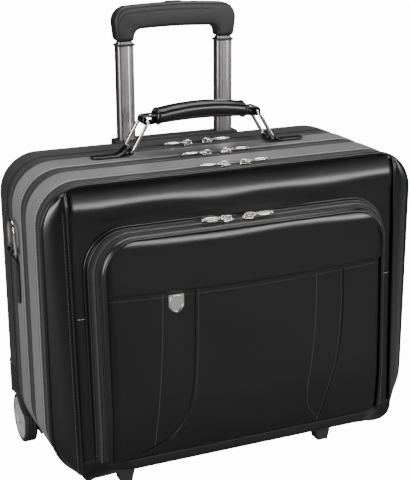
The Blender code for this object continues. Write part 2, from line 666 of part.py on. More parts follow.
def make_trolley():
    bore_width = TUBE_WIDTH - 2 * TUBE_WALL - 2 * GAP
    bore_depth = TUBE_DEPTH - 2 * TUBE_WALL - 2 * GAP
    outer_grow = 2 * (OUTER_WALL + GAP)
    middle_slide = joint_empty("middle_slide", (0, TUBE_Y, MIDDLE_LOW))
    grip_slide = joint_empty("grip_slide", (0, TUBE_Y, INNER_LOW))
    slot_x, slot_y = bezel_half_sizes()
    bezel = box_part("tube_bezel", (-slot_x, TUBE_Y - slot_y, BEZEL_TOP - BEZEL_HEIGHT),
                     (slot_x, TUBE_Y + slot_y, BEZEL_TOP), BLACK_PLASTIC, BEZEL_EDGE)
    for side, sign in both_sides():
        x = sign * TUBE_X
        tube("outer_tube_" + side, TUBE_WIDTH + outer_grow, TUBE_DEPTH + outer_grow,
             TUBE_RADIUS + outer_grow / 2, OUTER_WALL, OUTER_TUBE_LOW, BEZEL_TOP - BEZEL_HEIGHT - GAP, x)
        boolean(bezel, tube_cutter("bezel_hole_" + side, TUBE_WIDTH + 2 * GAP, TUBE_DEPTH + 2 * GAP,
                                   TUBE_RADIUS + GAP, BEZEL_TOP - 2 * BEZEL_HEIGHT,
                                   BEZEL_TOP + BEZEL_HEIGHT, x))
        middle = tube("middle_tube_" + side, TUBE_WIDTH, TUBE_DEPTH, TUBE_RADIUS, TUBE_WALL, MIDDLE_LOW,
                      MIDDLE_HIGH, x)
        for number in range(LOCK_HOLES):
            height = MIDDLE_HIGH - LOCK_HOLE_DROP - LOCK_HOLE_PITCH * number
            boolean(middle, make_cutter("lock_hole_%s_%d" % (side, number),
                                        cylinder_mesh(LOCK_HOLE_RADIUS, TUBE_WIDTH + 4 * MM, 12),
                                        (x, TUBE_Y, height), (0, math.pi / 2, 0)))
        attach(middle, middle_slide)
        collar = add_part("collar_" + side, loft([tube_loop(TUBE_WIDTH + 2 * COLLAR_LIP,
                          TUBE_DEPTH + 2 * COLLAR_LIP, TUBE_RADIUS + COLLAR_LIP, z)
                          for z in (0, COLLAR_HEIGHT)], cap_first=True, cap_last=True), BLACK_PLASTIC,
                          (x, TUBE_Y, MIDDLE_HIGH + GAP), smooth=True)
        boolean(collar, tube_cutter("collar_hole_" + side, bore_width + 2 * GAP, bore_depth + 2 * GAP,
                                    TUBE_RADIUS - TUBE_WALL, MIDDLE_HIGH - COLLAR_HEIGHT,
                                    MIDDLE_HIGH + 3 * COLLAR_HEIGHT, x))
        attach(collar, middle_slide)
        attach(tube("inner_tube_" + side, bore_width, bore_depth, TUBE_RADIUS - TUBE_WALL - GAP, TUBE_WALL,
                    INNER_LOW, GRIP_LOW - GAP, x), grip_slide)
    grip = add_part("trolley_grip", extruded_outline(grip_outline(), -GRIP_DEPTH / 2, GRIP_DEPTH / 2),
                    BLACK_PLASTIC, (0, TUBE_Y, 0), smooth=True)
    bevel(grip, GRIP_EDGE, 3)
    crown = GRIP_TOP + GRIP_CROWN
    room = BUTTON_HEIGHT + BUTTON_TRAVEL + GAP - BUTTON_PROUD
    boolean(grip, box_cutter("button_slot", (-BUTTON_LENGTH / 2 - GAP, TUBE_Y - BUTTON_DEPTH / 2 - GAP,
                                             crown - room),
                             (BUTTON_LENGTH / 2 + GAP, TUBE_Y + BUTTON_DEPTH / 2 + GAP, crown + room)))
    attach(grip, grip_slide)
    button = box_part("push_button", (-BUTTON_LENGTH / 2, TUBE_Y - BUTTON_DEPTH / 2,
                                      crown + BUTTON_PROUD - BUTTON_HEIGHT),
                      (BUTTON_LENGTH / 2, TUBE_Y + BUTTON_DEPTH / 2, crown + BUTTON_PROUD), BLACK_PLASTIC,
                      BUTTON_EDGE)
    attach(button, grip_slide)


# --- Carry handle and strap rings -----------------------------------------------------------

def closed_bar(name, points, radius, finish, location, rotation=(0, 0, 0)):
    """A bar bent into a closed loop through the given points."""
    curve = bpy.data.curves.new(name, "CURVE")
    curve.dimensions = "3D"
    curve.bevel_depth = radius
    curve.bevel_resolution = 2
    spline = curve.splines.new("POLY")
    spline.points.add(len(points) - 1)
    for target, point in zip(spline.points, points):
        target.co = (*point, 1)
    spline.use_cyclic_u = True
    curve.materials.append(material(finish))
    part = bpy.data.objects.new(name, curve)
    part.location = location
    part.rotation_euler = rotation
    PARTS.objects.link(part)
    return part


def band_centre():
    return (BAND_LOW + BAND_HIGH) / 2


def make_handle():
    y = band_centre()
    half = LOOP_WIDTH / 2
    outline = rounded_outline(-half, half, 0, LOOP_LENGTH, LOOP_CORNER, LOOP_CORNER, 3)
    for side, sign in both_sides():
        foot = (sign * LOOP_FOOT_X, y, LOOP_FOOT_Z)
        points = [Vector((0, across, up)) for across, up in outline]
        closed_bar("handle_loop_" + side, points, BAR_RADIUS, NICKEL, foot, (0, -sign * LOOP_LEAN, 0))
        block_half = CHAPE_BLOCK
        strap_top = CASE_TOP + GAP + CHAPE_STRAP
        outer = LOOP_FOOT_X + block_half + CHAPE_LENGTH - 2 * block_half
        shape = [(LOOP_FOOT_X - block_half, CASE_TOP + GAP), (outer, CASE_TOP + GAP), (outer, strap_top),
                 (LOOP_FOOT_X + block_half, strap_top),
                 (LOOP_FOOT_X + block_half * 0.6, LOOP_FOOT_Z + CHAPE_CAP),
                 (LOOP_FOOT_X - block_half * 0.6, LOOP_FOOT_Z + CHAPE_CAP)]
        if sign < 0:
            shape = [(-x, z) for x, z in reversed(shape)]
        chape = add_part("handle_chape_" + side, extruded_outline(shape, y - CHAPE_WIDTH / 2,
                                                                   y + CHAPE_WIDTH / 2), BLACK_LEATHER)
        boolean(chape, make_cutter("chape_bore_" + side,
                                   cylinder_mesh(BAR_RADIUS + PIVOT_CLEARANCE, CHAPE_WIDTH * 2),
                                   foot, (math.pi / 2, 0, 0)))
    stations = ((0.0, PAD_WIDTH, PAD_HEIGHT, PAD_RISE), (0.45, PAD_WIDTH, PAD_HEIGHT, PAD_RISE * 0.83),
                (0.88, PAD_WIDTH - 1 * MM, PAD_HEIGHT - 2 * MM, PAD_RISE * 0.33),
                (1.0, TAIL_WIDTH, TAIL_HEIGHT, 0))
    half_loops = [(share * PAD_HALF_LENGTH, width, height, rise)
                  for share, width, height, rise in stations]
    tail_end = LOOP_TOP_X + TAIL_HEIGHT * 0.65
    half_loops.append((tail_end - 3 * MM, TAIL_WIDTH, TAIL_HEIGHT, 0.0))
    half_loops.append((tail_end, TAIL_WIDTH - 2 * MM, TAIL_HEIGHT * 0.6, 0.0))
    stations = [(-x, *rest) for x, *rest in reversed(half_loops[1:])] + half_loops
    loops = []
    for x, width, height, rise in stations:
        round_off = height * 0.35
        outline = rounded_outline(-width / 2, width / 2, rise - height / 2, rise + height / 2, round_off,
                                  round_off, 3)
        loops.append([Vector((x, across, up)) for across, up in outline])
    grip = add_part("handle_grip", loft(loops, cap_first=True, cap_last=True), BLACK_LEATHER,
                    (0, y, LOOP_TOP_Z), smooth=True)
    for side, sign in both_sides():
        play = PIVOT_CLEARANCE if sign < 0 else OPEN_PIVOT_CLEARANCE
        boolean(grip, make_cutter("grip_bore_" + side, cylinder_mesh(BAR_RADIUS + play, PAD_WIDTH * 2),
                                  (sign * LOOP_TOP_X, y, LOOP_TOP_Z), (math.pi / 2, 0, 0)))


def make_strap_rings():
    y = band_centre()
    half = RING_INNER_WIDTH / 2 + RING_BAR
    arc_radius = half
    points = [Vector((0, -half, 0)), Vector((0, half, 0))]
    rise = RING_HEIGHT - arc_radius
    for step in range(9):
        angle = math.radians(22.5 * step)
        points.append(Vector((0, arc_radius * math.cos(angle), rise + arc_radius * math.sin(angle))))
    for side, sign in both_sides():
        closed_bar("strap_ring_" + side, points, RING_BAR, NICKEL, (sign * RING_X, y, RING_Z))
        base = CASE_HALF + GAP
        eye = RING_BAR + RING_EYE
        shape = [(base, RING_Z - RING_CHAPE_DROP), (base + RING_CHAPE_STRAP, RING_Z - RING_CHAPE_DROP),
                 (base + RING_CHAPE_STRAP, RING_Z - 2.2 * eye), (RING_X + eye, RING_Z - eye),
                 (RING_X + eye, RING_Z + eye * 0.6), (RING_X + eye * 0.4, RING_Z + eye), (base, RING_Z + eye)]
        if sign < 0:
            shape = [(-x, z) for x, z in reversed(shape)]
        chape = add_part("ring_chape_" + side,
                         extruded_outline(shape, y - RING_CHAPE_WIDTH / 2, y + RING_CHAPE_WIDTH / 2),
                         BLACK_LEATHER)
        boolean(chape, make_cutter("ring_bore_" + side,
                                   cylinder_mesh(RING_BAR + PIVOT_CLEARANCE, RING_CHAPE_WIDTH * 2),
                                   (sign * RING_X, y, RING_Z), (math.pi / 2, 0, 0)))


# --- Zip sliders ----------------------------------------------------------------------------

def oval_points(length, width, segments=6):
    """A flat pull: square at its hinge bar, round at its far end."""
    half = width / 2
    points = [(-PULL_BAR / 2, half * 0.62), (-PULL_BAR / 2, -half * 0.62), (length * 0.35, -half)]
    for step in range(segments + 1):
        angle = math.radians(-90 + 180 * step / segments)
        points.append((length - half + half * math.cos(angle), half * math.sin(angle)))
    points.append((length * 0.35, half))
    return points


def pull_mesh():
    outline = oval_points(PULL_LENGTH, PULL_WIDTH)
    loops = [[Vector((x, y, z)) for x, y in outline] for z in (-PULL_THICKNESS / 2, PULL_THICKNESS / 2)]
    return loft(loops, cap_first=True, cap_last=True)


def make_zip_slider(label, x, y, surface, tilt, sign):
    """One slider whose pull points away from the middle; tilt turns it about the zip's run."""
    turn = Matrix.Rotation(tilt, 4, "X")
    flip = math.pi if sign < 0 else 0
    up = turn @ Vector((0, 0, 1))
    base_centre = Vector((x, y, surface)) + up * (GAP + SLIDER_BASE / 2)
    slider = add_part("slider_" + label, box_mesh(SLIDER_LENGTH, SLIDER_WIDTH, SLIDER_BASE), NICKEL,
                      base_centre, (tilt, 0, 0))
    bridge_centre = base_centre + up * (SLIDER_BASE / 2 + BRIDGE_HEIGHT / 2)
    sink = 0.4 * MM
    bridge = make_cutter("bridge_" + label, box_mesh(BRIDGE_LENGTH, BRIDGE_WIDTH, BRIDGE_HEIGHT + sink),
                         bridge_centre - up * (sink / 2), (tilt, 0, 0))
    eye_height = BRIDGE_HEIGHT - BRIDGE_BAR
    eye_centre = base_centre + up * (SLIDER_BASE / 2 + eye_height / 2)
    eye = make_cutter("bridge_eye_" + label,
                      box_mesh(BRIDGE_LENGTH - 2 * BRIDGE_BAR - 0.8 * MM, SLIDER_WIDTH, eye_height),
                      eye_centre, (tilt, 0, 0))
    boolean(slider, bridge, "UNION")
    boolean(slider, eye)
    rotation = (tilt, 0, flip)
    pull_turn = turn @ Matrix.Rotation(flip, 4, "Z")
    pull = add_part("pull_" + label, pull_mesh(), NICKEL, eye_centre, pull_turn.to_euler())
    hole_shift = pull_turn @ Vector((PULL_BAR / 2 + PULL_EYE_LENGTH / 2, 0, 0))
    boolean(pull, make_cutter("pull_eye_" + label,
                              box_mesh(PULL_EYE_LENGTH, PULL_EYE_WIDTH, 4 * PULL_THICKNESS),
                              eye_centre + hole_shift, rotation))


def make_fixed_pull_slider(label, x, y, surface, sign):
    """A rear slider with its pull moulded in one piece with it."""
    centre = Vector((x, y, surface + GAP + SLIDER_BASE / 2))
    slider = add_part("slider_" + label, box_mesh(SLIDER_LENGTH, SLIDER_WIDTH, SLIDER_BASE), NICKEL, centre)
    lift = SLIDER_BASE / 2 + PULL_THICKNESS / 2 - 0.2 * MM
    turn = math.pi if sign < 0 else 0
    boolean(slider, make_cutter("pull_body_" + label, pull_mesh(), centre + Vector((0, 0, lift)),
                                (0, 0, turn)), "UNION")


def make_zips():
    pairs = (("lid", LID_SLIDERS_X, Y_LID), ("section", SECTION_SLIDERS_X, Y_SECTION))
    for name, middle, y in pairs:
        for side, sign in both_sides():
            make_zip_slider("%s_%s" % (name, side), middle + sign * SLIDER_GAP / 2, y, TAPE_TOP, 0,
                            sign)
    for side, sign in both_sides():
        make_fixed_pull_slider("rear_" + side, REAR_SLIDERS_X + sign * SLIDER_GAP / 2, Y_MAIN,
                               TAPE_TOP, sign)
    share = 0.5
    proud = pocket_proud(share)
    surface = POCKET_HIGH - POCKET_FACE_DROP * share + GAP + TAPE
    y = panel_y(surface) - proud
    for side, sign in both_sides():
        make_zip_slider("pocket_" + side, POCKET_SLIDERS_X + sign * SLIDER_GAP / 2, y,
                        surface + POCKET_SLIDER_LIFT, pocket_normal_tilt(), sign)


def build():
    lid_hinge = joint_empty("lid_hinge", (0, Y_LID, CASE_BOTTOM))
    section_hinge = joint_empty("section_hinge", (0, Y_LID, CASE_BOTTOM))
    make_lid(lid_hinge)
    make_pocket(lid_hinge)
    make_front_section(section_hinge)
    make_main_section()
    make_rear_section()
    make_base()
    make_wheels()
    make_trolley()
    make_handle()
    make_strap_rings()
    make_zips()


build()
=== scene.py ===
"""Rolling laptop case: leather, zips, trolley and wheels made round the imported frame, in metres."""
import math

import bmesh
import bpy
import numpy as np
from mathutils import Matrix, Vector, noise


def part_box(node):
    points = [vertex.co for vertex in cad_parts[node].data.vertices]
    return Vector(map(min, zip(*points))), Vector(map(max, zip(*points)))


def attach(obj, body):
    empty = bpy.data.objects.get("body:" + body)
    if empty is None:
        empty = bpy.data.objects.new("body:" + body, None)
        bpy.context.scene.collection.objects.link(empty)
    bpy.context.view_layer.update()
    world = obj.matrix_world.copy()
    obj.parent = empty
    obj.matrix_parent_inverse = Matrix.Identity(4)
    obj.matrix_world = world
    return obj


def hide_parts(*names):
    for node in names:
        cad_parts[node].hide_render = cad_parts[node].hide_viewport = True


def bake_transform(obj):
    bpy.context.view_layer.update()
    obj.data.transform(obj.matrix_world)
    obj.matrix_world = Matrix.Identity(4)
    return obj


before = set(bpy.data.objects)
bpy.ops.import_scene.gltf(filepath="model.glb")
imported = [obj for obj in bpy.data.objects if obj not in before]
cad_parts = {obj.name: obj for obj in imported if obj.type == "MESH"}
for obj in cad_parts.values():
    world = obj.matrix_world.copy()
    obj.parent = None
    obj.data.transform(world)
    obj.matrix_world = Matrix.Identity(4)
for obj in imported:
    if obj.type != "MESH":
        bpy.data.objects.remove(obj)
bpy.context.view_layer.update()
MM = 0.001

# Stations read from the frame
CASE_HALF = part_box("main_band")[1].x
CASE_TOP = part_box("main_band")[1].z
CASE_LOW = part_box("main_band")[0].z
BAND_FRONT, BAND_BACK = (corner.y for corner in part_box("main_band"))
BAND_MID = (BAND_FRONT + BAND_BACK) / 2
SECTION_BAND_FRONT, SECTION_BAND_BACK = (corner.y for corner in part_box("section_band"))
LID_Y = (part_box("lid_zip_tape")[1].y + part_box("section_front_tape")[0].y) / 2
SECTION_Y = (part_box("section_rear_tape")[1].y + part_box("main_front_tape")[0].y) / 2
REAR_TAPE_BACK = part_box("rear_zip_tape")[1].y
REAR_SLIDER_FRONT, REAR_SLIDER_BACK = (corner.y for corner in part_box("slider_rear_left"))
MAIN_Y = REAR_SLIDER_FRONT + (REAR_SLIDER_BACK - REAR_SLIDER_FRONT) / 2
REAR_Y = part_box("rear_shell")[1].y
TAPE_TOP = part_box("lid_zip_tape")[1].z
POCKET_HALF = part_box("pocket_shell")[1].x
POCKET_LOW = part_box("pocket_shell")[0].z
POCKET_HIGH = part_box("pocket_shell")[1].z
TUBE_Y = (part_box("middle_tube_left")[0].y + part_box("middle_tube_left")[1].y) / 2
TUBE_X = (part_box("middle_tube_right")[0].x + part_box("middle_tube_right")[1].x) / 2

# Sizes of the soft skins
TOP_RADIUS = 46 * MM
BOTTOM_RADIUS = 62 * MM
LID_DEPTH = 13 * MM
PANEL_STAND = 8 * MM
PANEL_RAKE = 14 * MM
PANEL_HALF = 190 * MM
PIPING_Y = LID_Y - LID_DEPTH
PIPING_RADIUS = 1.7 * MM
LEATHER = 1.8 * MM
POCKET_DEPTH = 24 * MM
POCKET_WALL = 2.4 * MM
POCKET_RADIUS = 44 * MM
FACE_INSET = 14 * MM
FACE_DROP = 8 * MM
HEM_Z = 241 * MM

PANEL_TOP = 350.5 * MM
PANEL_SHOULDER = 312 * MM
UNDERSIDE_RISE = 21 * MM
POCKET_TAPER = 70 * MM
POCKET_COUNTS = (40, 16, 44)    # stations up each side, round each corner and over the top

# The front piping runs down beside the panel and turns in under the case
PIPING_HEAD_Z = 348 * MM
PIPING_BEND_Z = 330 * MM
PIPING_BEND = 19 * MM
PIPING_FOOT_Z = 56 * MM
PIPING_FALL = 27.5 * MM
PIPING_TUCK = 21 * MM

BACKDROP_GLOW = 14.0


# --- Camera, light and floor ----------------------------------------------------------------

def make_camera():
    azimuth, elevation, roll = math.radians(-23.48), math.radians(17.72), math.radians(-0.25)
    data = bpy.data.cameras.new("camera")
    data.lens = 85.7
    data.sensor_width = 36
    data.shift_x = 0.0002
    data.shift_y = 0.0094
    data.clip_start = 0.02
    camera = bpy.data.objects.new("camera", data)
    bpy.context.scene.collection.objects.link(camera)
    back = Vector((math.sin(azimuth) * math.cos(elevation), -math.cos(azimuth) * math.cos(elevation),
                   math.sin(elevation)))
    camera.location = (-0.49847, -1.13810, 0.64405)
    camera.rotation_mode = "QUATERNION"
    aim = (-back).to_track_quat("-Z", "Y")
    camera.rotation_quaternion = aim @ Matrix.Rotation(roll, 3, "Z").to_quaternion()
    bpy.context.scene.camera = camera


def soft_box(name, location, target, width, height, power):
    data = bpy.data.lights.new(name, "AREA")
    data.shape = "RECTANGLE"
    data.size = width
    data.size_y = height
    data.energy = power
    light = bpy.data.objects.new(name, data)
    light.location = location
    light.rotation_mode = "QUATERNION"
    light.rotation_quaternion = (Vector(target) - Vector(location)).to_track_quat("-Z", "Y")
    bpy.context.scene.collection.objects.link(light)


def make_studio():
    world = bpy.data.worlds.new("studio")
    bpy.context.scene.world = world
    world.use_nodes = True
    tree = world.node_tree
    shade = tree.nodes["Background"]
    shade.inputs["Color"].default_value = (0.012, 0.012, 0.012, 1)
    shade.inputs["Strength"].default_value = 1.0
    backdrop = tree.nodes.new("ShaderNodeBackground")
    backdrop.inputs["Color"].default_value = (1, 1, 1, 1)
    backdrop.inputs["Strength"].default_value = BACKDROP_GLOW
    seen = tree.nodes.new("ShaderNodeLightPath")
    mix = tree.nodes.new("ShaderNodeMixShader")
    tree.links.new(seen.outputs["Is Camera Ray"], mix.inputs["Fac"])
    tree.links.new(shade.outputs[0], mix.inputs[1])
    tree.links.new(backdrop.outputs[0], mix.inputs[2])
    tree.links.new(mix.outputs[0], tree.nodes["World Output"].inputs["Surface"])
    soft_box("top_box", (0.0, 0.35, 1.6), (0, 0, 0.3), 1.7, 0.9, 20)
    soft_box("left_box", (-1.45, -0.75, 0.75), (0, 0, 0.22), 0.35, 1.1, 24)
    soft_box("front_box", (0.78, -1.75, 0.85), (0, 0, 0.2), 1.3, 0.42, 26)
    soft_box("right_box", (1.5, -0.2, 0.8), (0, 0, 0.2), 0.4, 1.1, 9)


def make_floor():
    floor = bpy.data.meshes.new("floor")
    reach = 4.0
    floor.from_pydata([(-reach, -reach, 0), (reach, -reach, 0), (reach, reach, 0), (-reach, reach, 0)], [],
                      [(0, 1, 2, 3)])
    plane = bpy.data.objects.new("floor", floor)
    bpy.context.scene.collection.objects.link(plane)
    finish = bpy.data.materials.new("pale_floor")
    finish.use_nodes = True
    tree = finish.node_tree
    shader = tree.nodes["Principled BSDF"]
    shader.inputs["Base Color"].default_value = (0.22, 0.22, 0.22, 1)
    shader.inputs["Roughness"].default_value = 0.7
    glow = tree.nodes.new("ShaderNodeEmission")
    glow.inputs["Strength"].default_value = BACKDROP_GLOW
    seen = tree.nodes.new("ShaderNodeLightPath")
    mix = tree.nodes.new("ShaderNodeMixShader")
    tree.links.new(seen.outputs["Is Camera Ray"], mix.inputs["Fac"])
    tree.links.new(shader.outputs[0], mix.inputs[1])
    tree.links.new(glow.outputs[0], mix.inputs[2])
    tree.links.new(mix.outputs[0], tree.nodes["Material Output"].inputs["Surface"])
    floor.materials.append(finish)


# --- Finishes -------------------------------------------------------------------------------

def node(tree, kind, inputs=None, **settings):
    made = tree.nodes.new(kind)
    for key, value in settings.items():
        setattr(made, key, value)
    for key, value in (inputs or {}).items():
        if isinstance(value, bpy.types.NodeSocket):
            tree.links.new(value, made.inputs[key])
        else:
            made.inputs[key].default_value = value
    return made


def calc(tree, operation, first, second=0.0):
    made = node(tree, "ShaderNodeMath", {0: first, 1: second}, operation=operation)
    return made.outputs[0]


def spread(tree, value, low, high):
    """A value from 0 to 1 stretched to run from low to high."""
    made = node(tree, "ShaderNodeMapRange", {"Value": value, "To Min": low, "To Max": high})
    return made.outputs["Result"]


def new_group(name, inputs, outputs):
    group = bpy.data.node_groups.new(name, "ShaderNodeTree")
    for label, default in inputs:
        socket = group.interface.new_socket(label, in_out="INPUT", socket_type="NodeSocketFloat")
        socket.default_value = default
    for label in outputs:
        group.interface.new_socket(label, in_out="OUTPUT", socket_type="NodeSocketFloat")
    enter = group.nodes.new("NodeGroupInput")
    leave = group.nodes.new("NodeGroupOutput")
    place = group.nodes.new("ShaderNodeTexCoord")
    return group, enter, leave, place.outputs["Object"]


def hide_grain_group():
    """Leather pores and slow unevenness: Height for bump, Mottle for colour and gloss."""
    group, enter, leave, place = new_group("hide_grain", (("Pores", 900.0), ("Unevenness", 14.0)),
                                           ("Height", "Mottle"))
    pores = node(group, "ShaderNodeTexVoronoi", {"Vector": place, "Scale": enter.outputs["Pores"]},
                 feature="SMOOTH_F1")
    creases = node(group, "ShaderNodeTexNoise", {"Vector": place, "Scale": enter.outputs["Pores"],
                                                 "Detail": 3.0})
    height = calc(group, "ADD", pores.outputs["Distance"], calc(group, "MULTIPLY", creases.outputs[0], 0.6))
    slow = node(group, "ShaderNodeTexNoise", {"Vector": place, "Scale": enter.outputs["Unevenness"],
                                              "Detail": 4.0, "Roughness": 0.55})
    group.links.new(height, leave.inputs["Height"])
    group.links.new(slow.outputs[0], leave.inputs["Mottle"])
    return group


def edge_wear_group():
    """Lighter, rubbed edges: Wear is 1 on sharp outer edges and 0 elsewhere."""
    group, enter, leave, place = new_group("edge_wear", (("Amount", 0.6),), ("Wear",))
    shape = group.nodes.new("ShaderNodeNewGeometry")
    edges = node(group, "ShaderNodeMapRange", {"Value": shape.outputs["Pointiness"], "From Min": 0.53,
                                               "From Max": 0.62})
    broken = node(group, "ShaderNodeTexNoise", {"Vector": place, "Scale": 160.0, "Detail": 3.0})
    wear = calc(group, "MULTIPLY", calc(group, "MULTIPLY", edges.outputs["Result"], broken.outputs[0]),
                enter.outputs["Amount"])
    group.links.new(wear, leave.inputs["Wear"])
    return group


def weave_group():
    """Over-and-under threads: Height for bump, and a colour mask from the same height: painted shade where
    threads dip under, lighter where they rise.
    """
    group, enter, leave, place = new_group("cloth_weave", (("Threads", 1100.0),), ("Height", "weave_painted_shade"))
    parts = node(group, "ShaderNodeSeparateXYZ", {0: place})
    across = calc(group, "ADD", parts.outputs["X"], parts.outputs["Y"])
    warp = calc(group, "SINE", calc(group, "MULTIPLY", across, enter.outputs["Threads"]))
    weft = calc(group, "SINE", calc(group, "MULTIPLY", parts.outputs["Z"], enter.outputs["Threads"]))
    height = calc(group, "MULTIPLY", warp, weft)
    # Colour mask taken from the weave's height: painted shade in its hollows, lighter on the raised threads.
    thread = calc(group, "ADD", calc(group, "MULTIPLY", height, 0.5), 0.5)
    group.links.new(height, leave.inputs["Height"])
    group.links.new(thread, leave.inputs["weave_painted_shade"])
    return group


def rib_group():
    """Fine cords that run along a zip tape, and a colour mask from their height: painted shade in the
    grooves, lighter on the cords.
    """
    group, enter, leave, place = new_group("tape_ribs", (("Ribs", 5200.0),), ("Height", "groove_painted_shade"))
    parts = node(group, "ShaderNodeSeparateXYZ", {0: place})
    cords = calc(group, "SINE", calc(group, "MULTIPLY", parts.outputs["Y"], enter.outputs["Ribs"]))
    run = calc(group, "ADD", parts.outputs["X"], parts.outputs["Z"])
    picks = calc(group, "SINE", calc(group, "MULTIPLY", run, 4200.0))
    height = calc(group, "ADD", cords, calc(group, "MULTIPLY", picks, 0.7))
    group.links.new(height, leave.inputs["Height"])
    group.links.new(spread(group, height, 0.35, 0.65), leave.inputs["groove_painted_shade"])
    return group


def mould_group():
    """Spark-eroded mould grain and slow flow marks."""
    group, enter, leave, place = new_group("mould_grain", (("Grain", 1400.0),), ("Height", "Flow"))
    fine = node(group, "ShaderNodeTexNoise", {"Vector": place, "Scale": enter.outputs["Grain"],
                                              "Detail": 2.0})
    flow = node(group, "ShaderNodeTexNoise", {"Vector": place, "Scale": 30.0, "Detail": 3.0})
    group.links.new(fine.outputs[0], leave.inputs["Height"])
    group.links.new(flow.outputs[0], leave.inputs["Flow"])
    return group


def brushed_group():
    """Drawing marks that run up a tube."""
    group, enter, leave, place = new_group("drawn_metal", (("Marks", 700.0),), ("Streak",))
    long_way = node(group, "ShaderNodeMapping", {"Vector": place, "Scale": (1.0, 1.0, 0.012)})
    marks = node(group, "ShaderNodeTexNoise", {"Vector": long_way.outputs[0],
                                               "Scale": enter.outputs["Marks"], "Detail": 3.0})
    group.links.new(marks.outputs[0], leave.inputs["Streak"])
    return group


GROUPS = {}


def shared(tree, name, **values):
    makers = {"hide_grain": hide_grain_group, "edge_wear": edge_wear_group, "cloth_weave": weave_group,
              "tape_ribs": rib_group, "mould_grain": mould_group, "drawn_metal": brushed_group}
    if name not in GROUPS:
        GROUPS[name] = makers[name]()
    made = tree.nodes.new("ShaderNodeGroup")
    made.node_tree = GROUPS[name]
    for key, value in values.items():
        made.inputs[key].default_value = value
    return made.outputs


def start_finish(name, roughness=0.5, metallic=0.0):
    finish = bpy.data.materials.new(name)
    finish.use_nodes = True
    tree = finish.node_tree
    shader = tree.nodes["Principled BSDF"]
    shader.inputs["Roughness"].default_value = roughness
    shader.inputs["Metallic"].default_value = metallic
    return finish, tree, shader


def two_tone(tree, shader, mask, dark, light):
    mix = node(tree, "ShaderNodeMix", {"Factor": mask}, data_type="RGBA")
    mix.inputs["A"].default_value = (*dark, 1)
    mix.inputs["B"].default_value = (*light, 1)
    tree.links.new(mix.outputs["Result"], shader.inputs["Base Color"])
    return mix


def worn_edges(tree, shader, tone, amount, worn):
    wear = shared(tree, "edge_wear", Amount=amount)["Wear"]
    mix = node(tree, "ShaderNodeMix", {"Factor": wear}, data_type="RGBA")
    tree.links.new(tone.outputs["Result"], mix.inputs["A"])
    mix.inputs["B"].default_value = (*worn, 1)
    tree.links.new(mix.outputs["Result"], shader.inputs["Base Color"])


def bump(tree, shader, height, strength, distance):
    made = node(tree, "ShaderNodeBump", {"Height": height, "Strength": strength, "Distance": distance})
    tree.links.new(made.outputs[0], shader.inputs["Normal"])


def leather_finish(name, dark, light, gloss, pores, relief, coat=0.0):
    finish, tree, shader = start_finish(name)
    grain = shared(tree, "hide_grain", Pores=pores)
    tone = two_tone(tree, shader, grain["Mottle"], dark, light)
    worn_edges(tree, shader, tone, 0.5, tuple(2.6 * channel + 0.02 for channel in light))
    tree.links.new(spread(tree, grain["Mottle"], *gloss), shader.inputs["Roughness"])
    bump(tree, shader, grain["Height"], relief, 0.00018)
    shader.inputs["Coat Weight"].default_value = coat
    shader.inputs["Coat Roughness"].default_value = 0.22
    return finish


def thread_finish():
    finish, tree, shader = start_finish("waxed_thread", 0.55)
    weave = shared(tree, "cloth_weave", Threads=9000.0)
    # Stitch colour from the weave's height: painted shade in its hollows.
    two_tone(tree, shader, weave["weave_painted_shade"], (0.05, 0.05, 0.051), (0.13, 0.13, 0.13))
    bump(tree, shader, weave["Height"], 0.3, 0.0001)
    return finish


def tape_finish():
    finish, tree, shader = start_finish("zip_tape", 0.62)
    ribs = shared(tree, "tape_ribs")
    # The tape's colour follows the cords' height: painted shade in the grooves, lighter on the cords.
    two_tone(tree, shader, ribs["groove_painted_shade"], (0.004, 0.004, 0.0045), (0.02, 0.02, 0.021))
    bump(tree, shader, ribs["Height"], 0.7, 0.00025)
    shader.inputs["Sheen Weight"].default_value = 0.05
    return finish


def nylon_finish(name, dark, light):
    finish, tree, shader = start_finish(name, 0.7)
    weave = shared(tree, "cloth_weave", Threads=3600.0)
    # Cloth colour from the weave's height: painted shade in its hollows.
    two_tone(tree, shader, weave["weave_painted_shade"], dark, light)
    bump(tree, shader, weave["Height"], 0.6, 0.0003)
    shader.inputs["Sheen Weight"].default_value = 0.06
    return finish


def metal_finish(name, dark, light, gloss):
    finish, tree, shader = start_finish(name, 0.2, 1.0)
    grain = shared(tree, "mould_grain", Grain=600.0)
    two_tone(tree, shader, grain["Flow"], dark, light)
    tree.links.new(spread(tree, grain["Flow"], *gloss), shader.inputs["Roughness"])
    bump(tree, shader, grain["Height"], 0.08, 0.0001)
    return finish


def tube_finish():
    finish, tree, shader = start_finish("drawn_tube", 0.25, 1.0)
    streak = shared(tree, "drawn_metal")["Streak"]
    two_tone(tree, shader, streak, (0.42, 0.39, 0.40), (0.5, 0.47, 0.48))
    tree.links.new(spread(tree, streak, 0.26, 0.34), shader.inputs["Roughness"])
    bump(tree, shader, streak, 0.04, 0.00005)
    return finish


def plastic_finish(name, dark, light, gloss, grain_scale=1400.0, relief=0.35):
    finish, tree, shader = start_finish(name)
    grain = shared(tree, "mould_grain", Grain=grain_scale)
    tone = two_tone(tree, shader, grain["Flow"], dark, light)
    worn_edges(tree, shader, tone, 0.4, tuple(1.8 * channel + 0.02 for channel in light))
    tree.links.new(spread(tree, grain["Flow"], *gloss), shader.inputs["Roughness"])
    bump(tree, shader, grain["Height"], relief, 0.0002)
    return finish


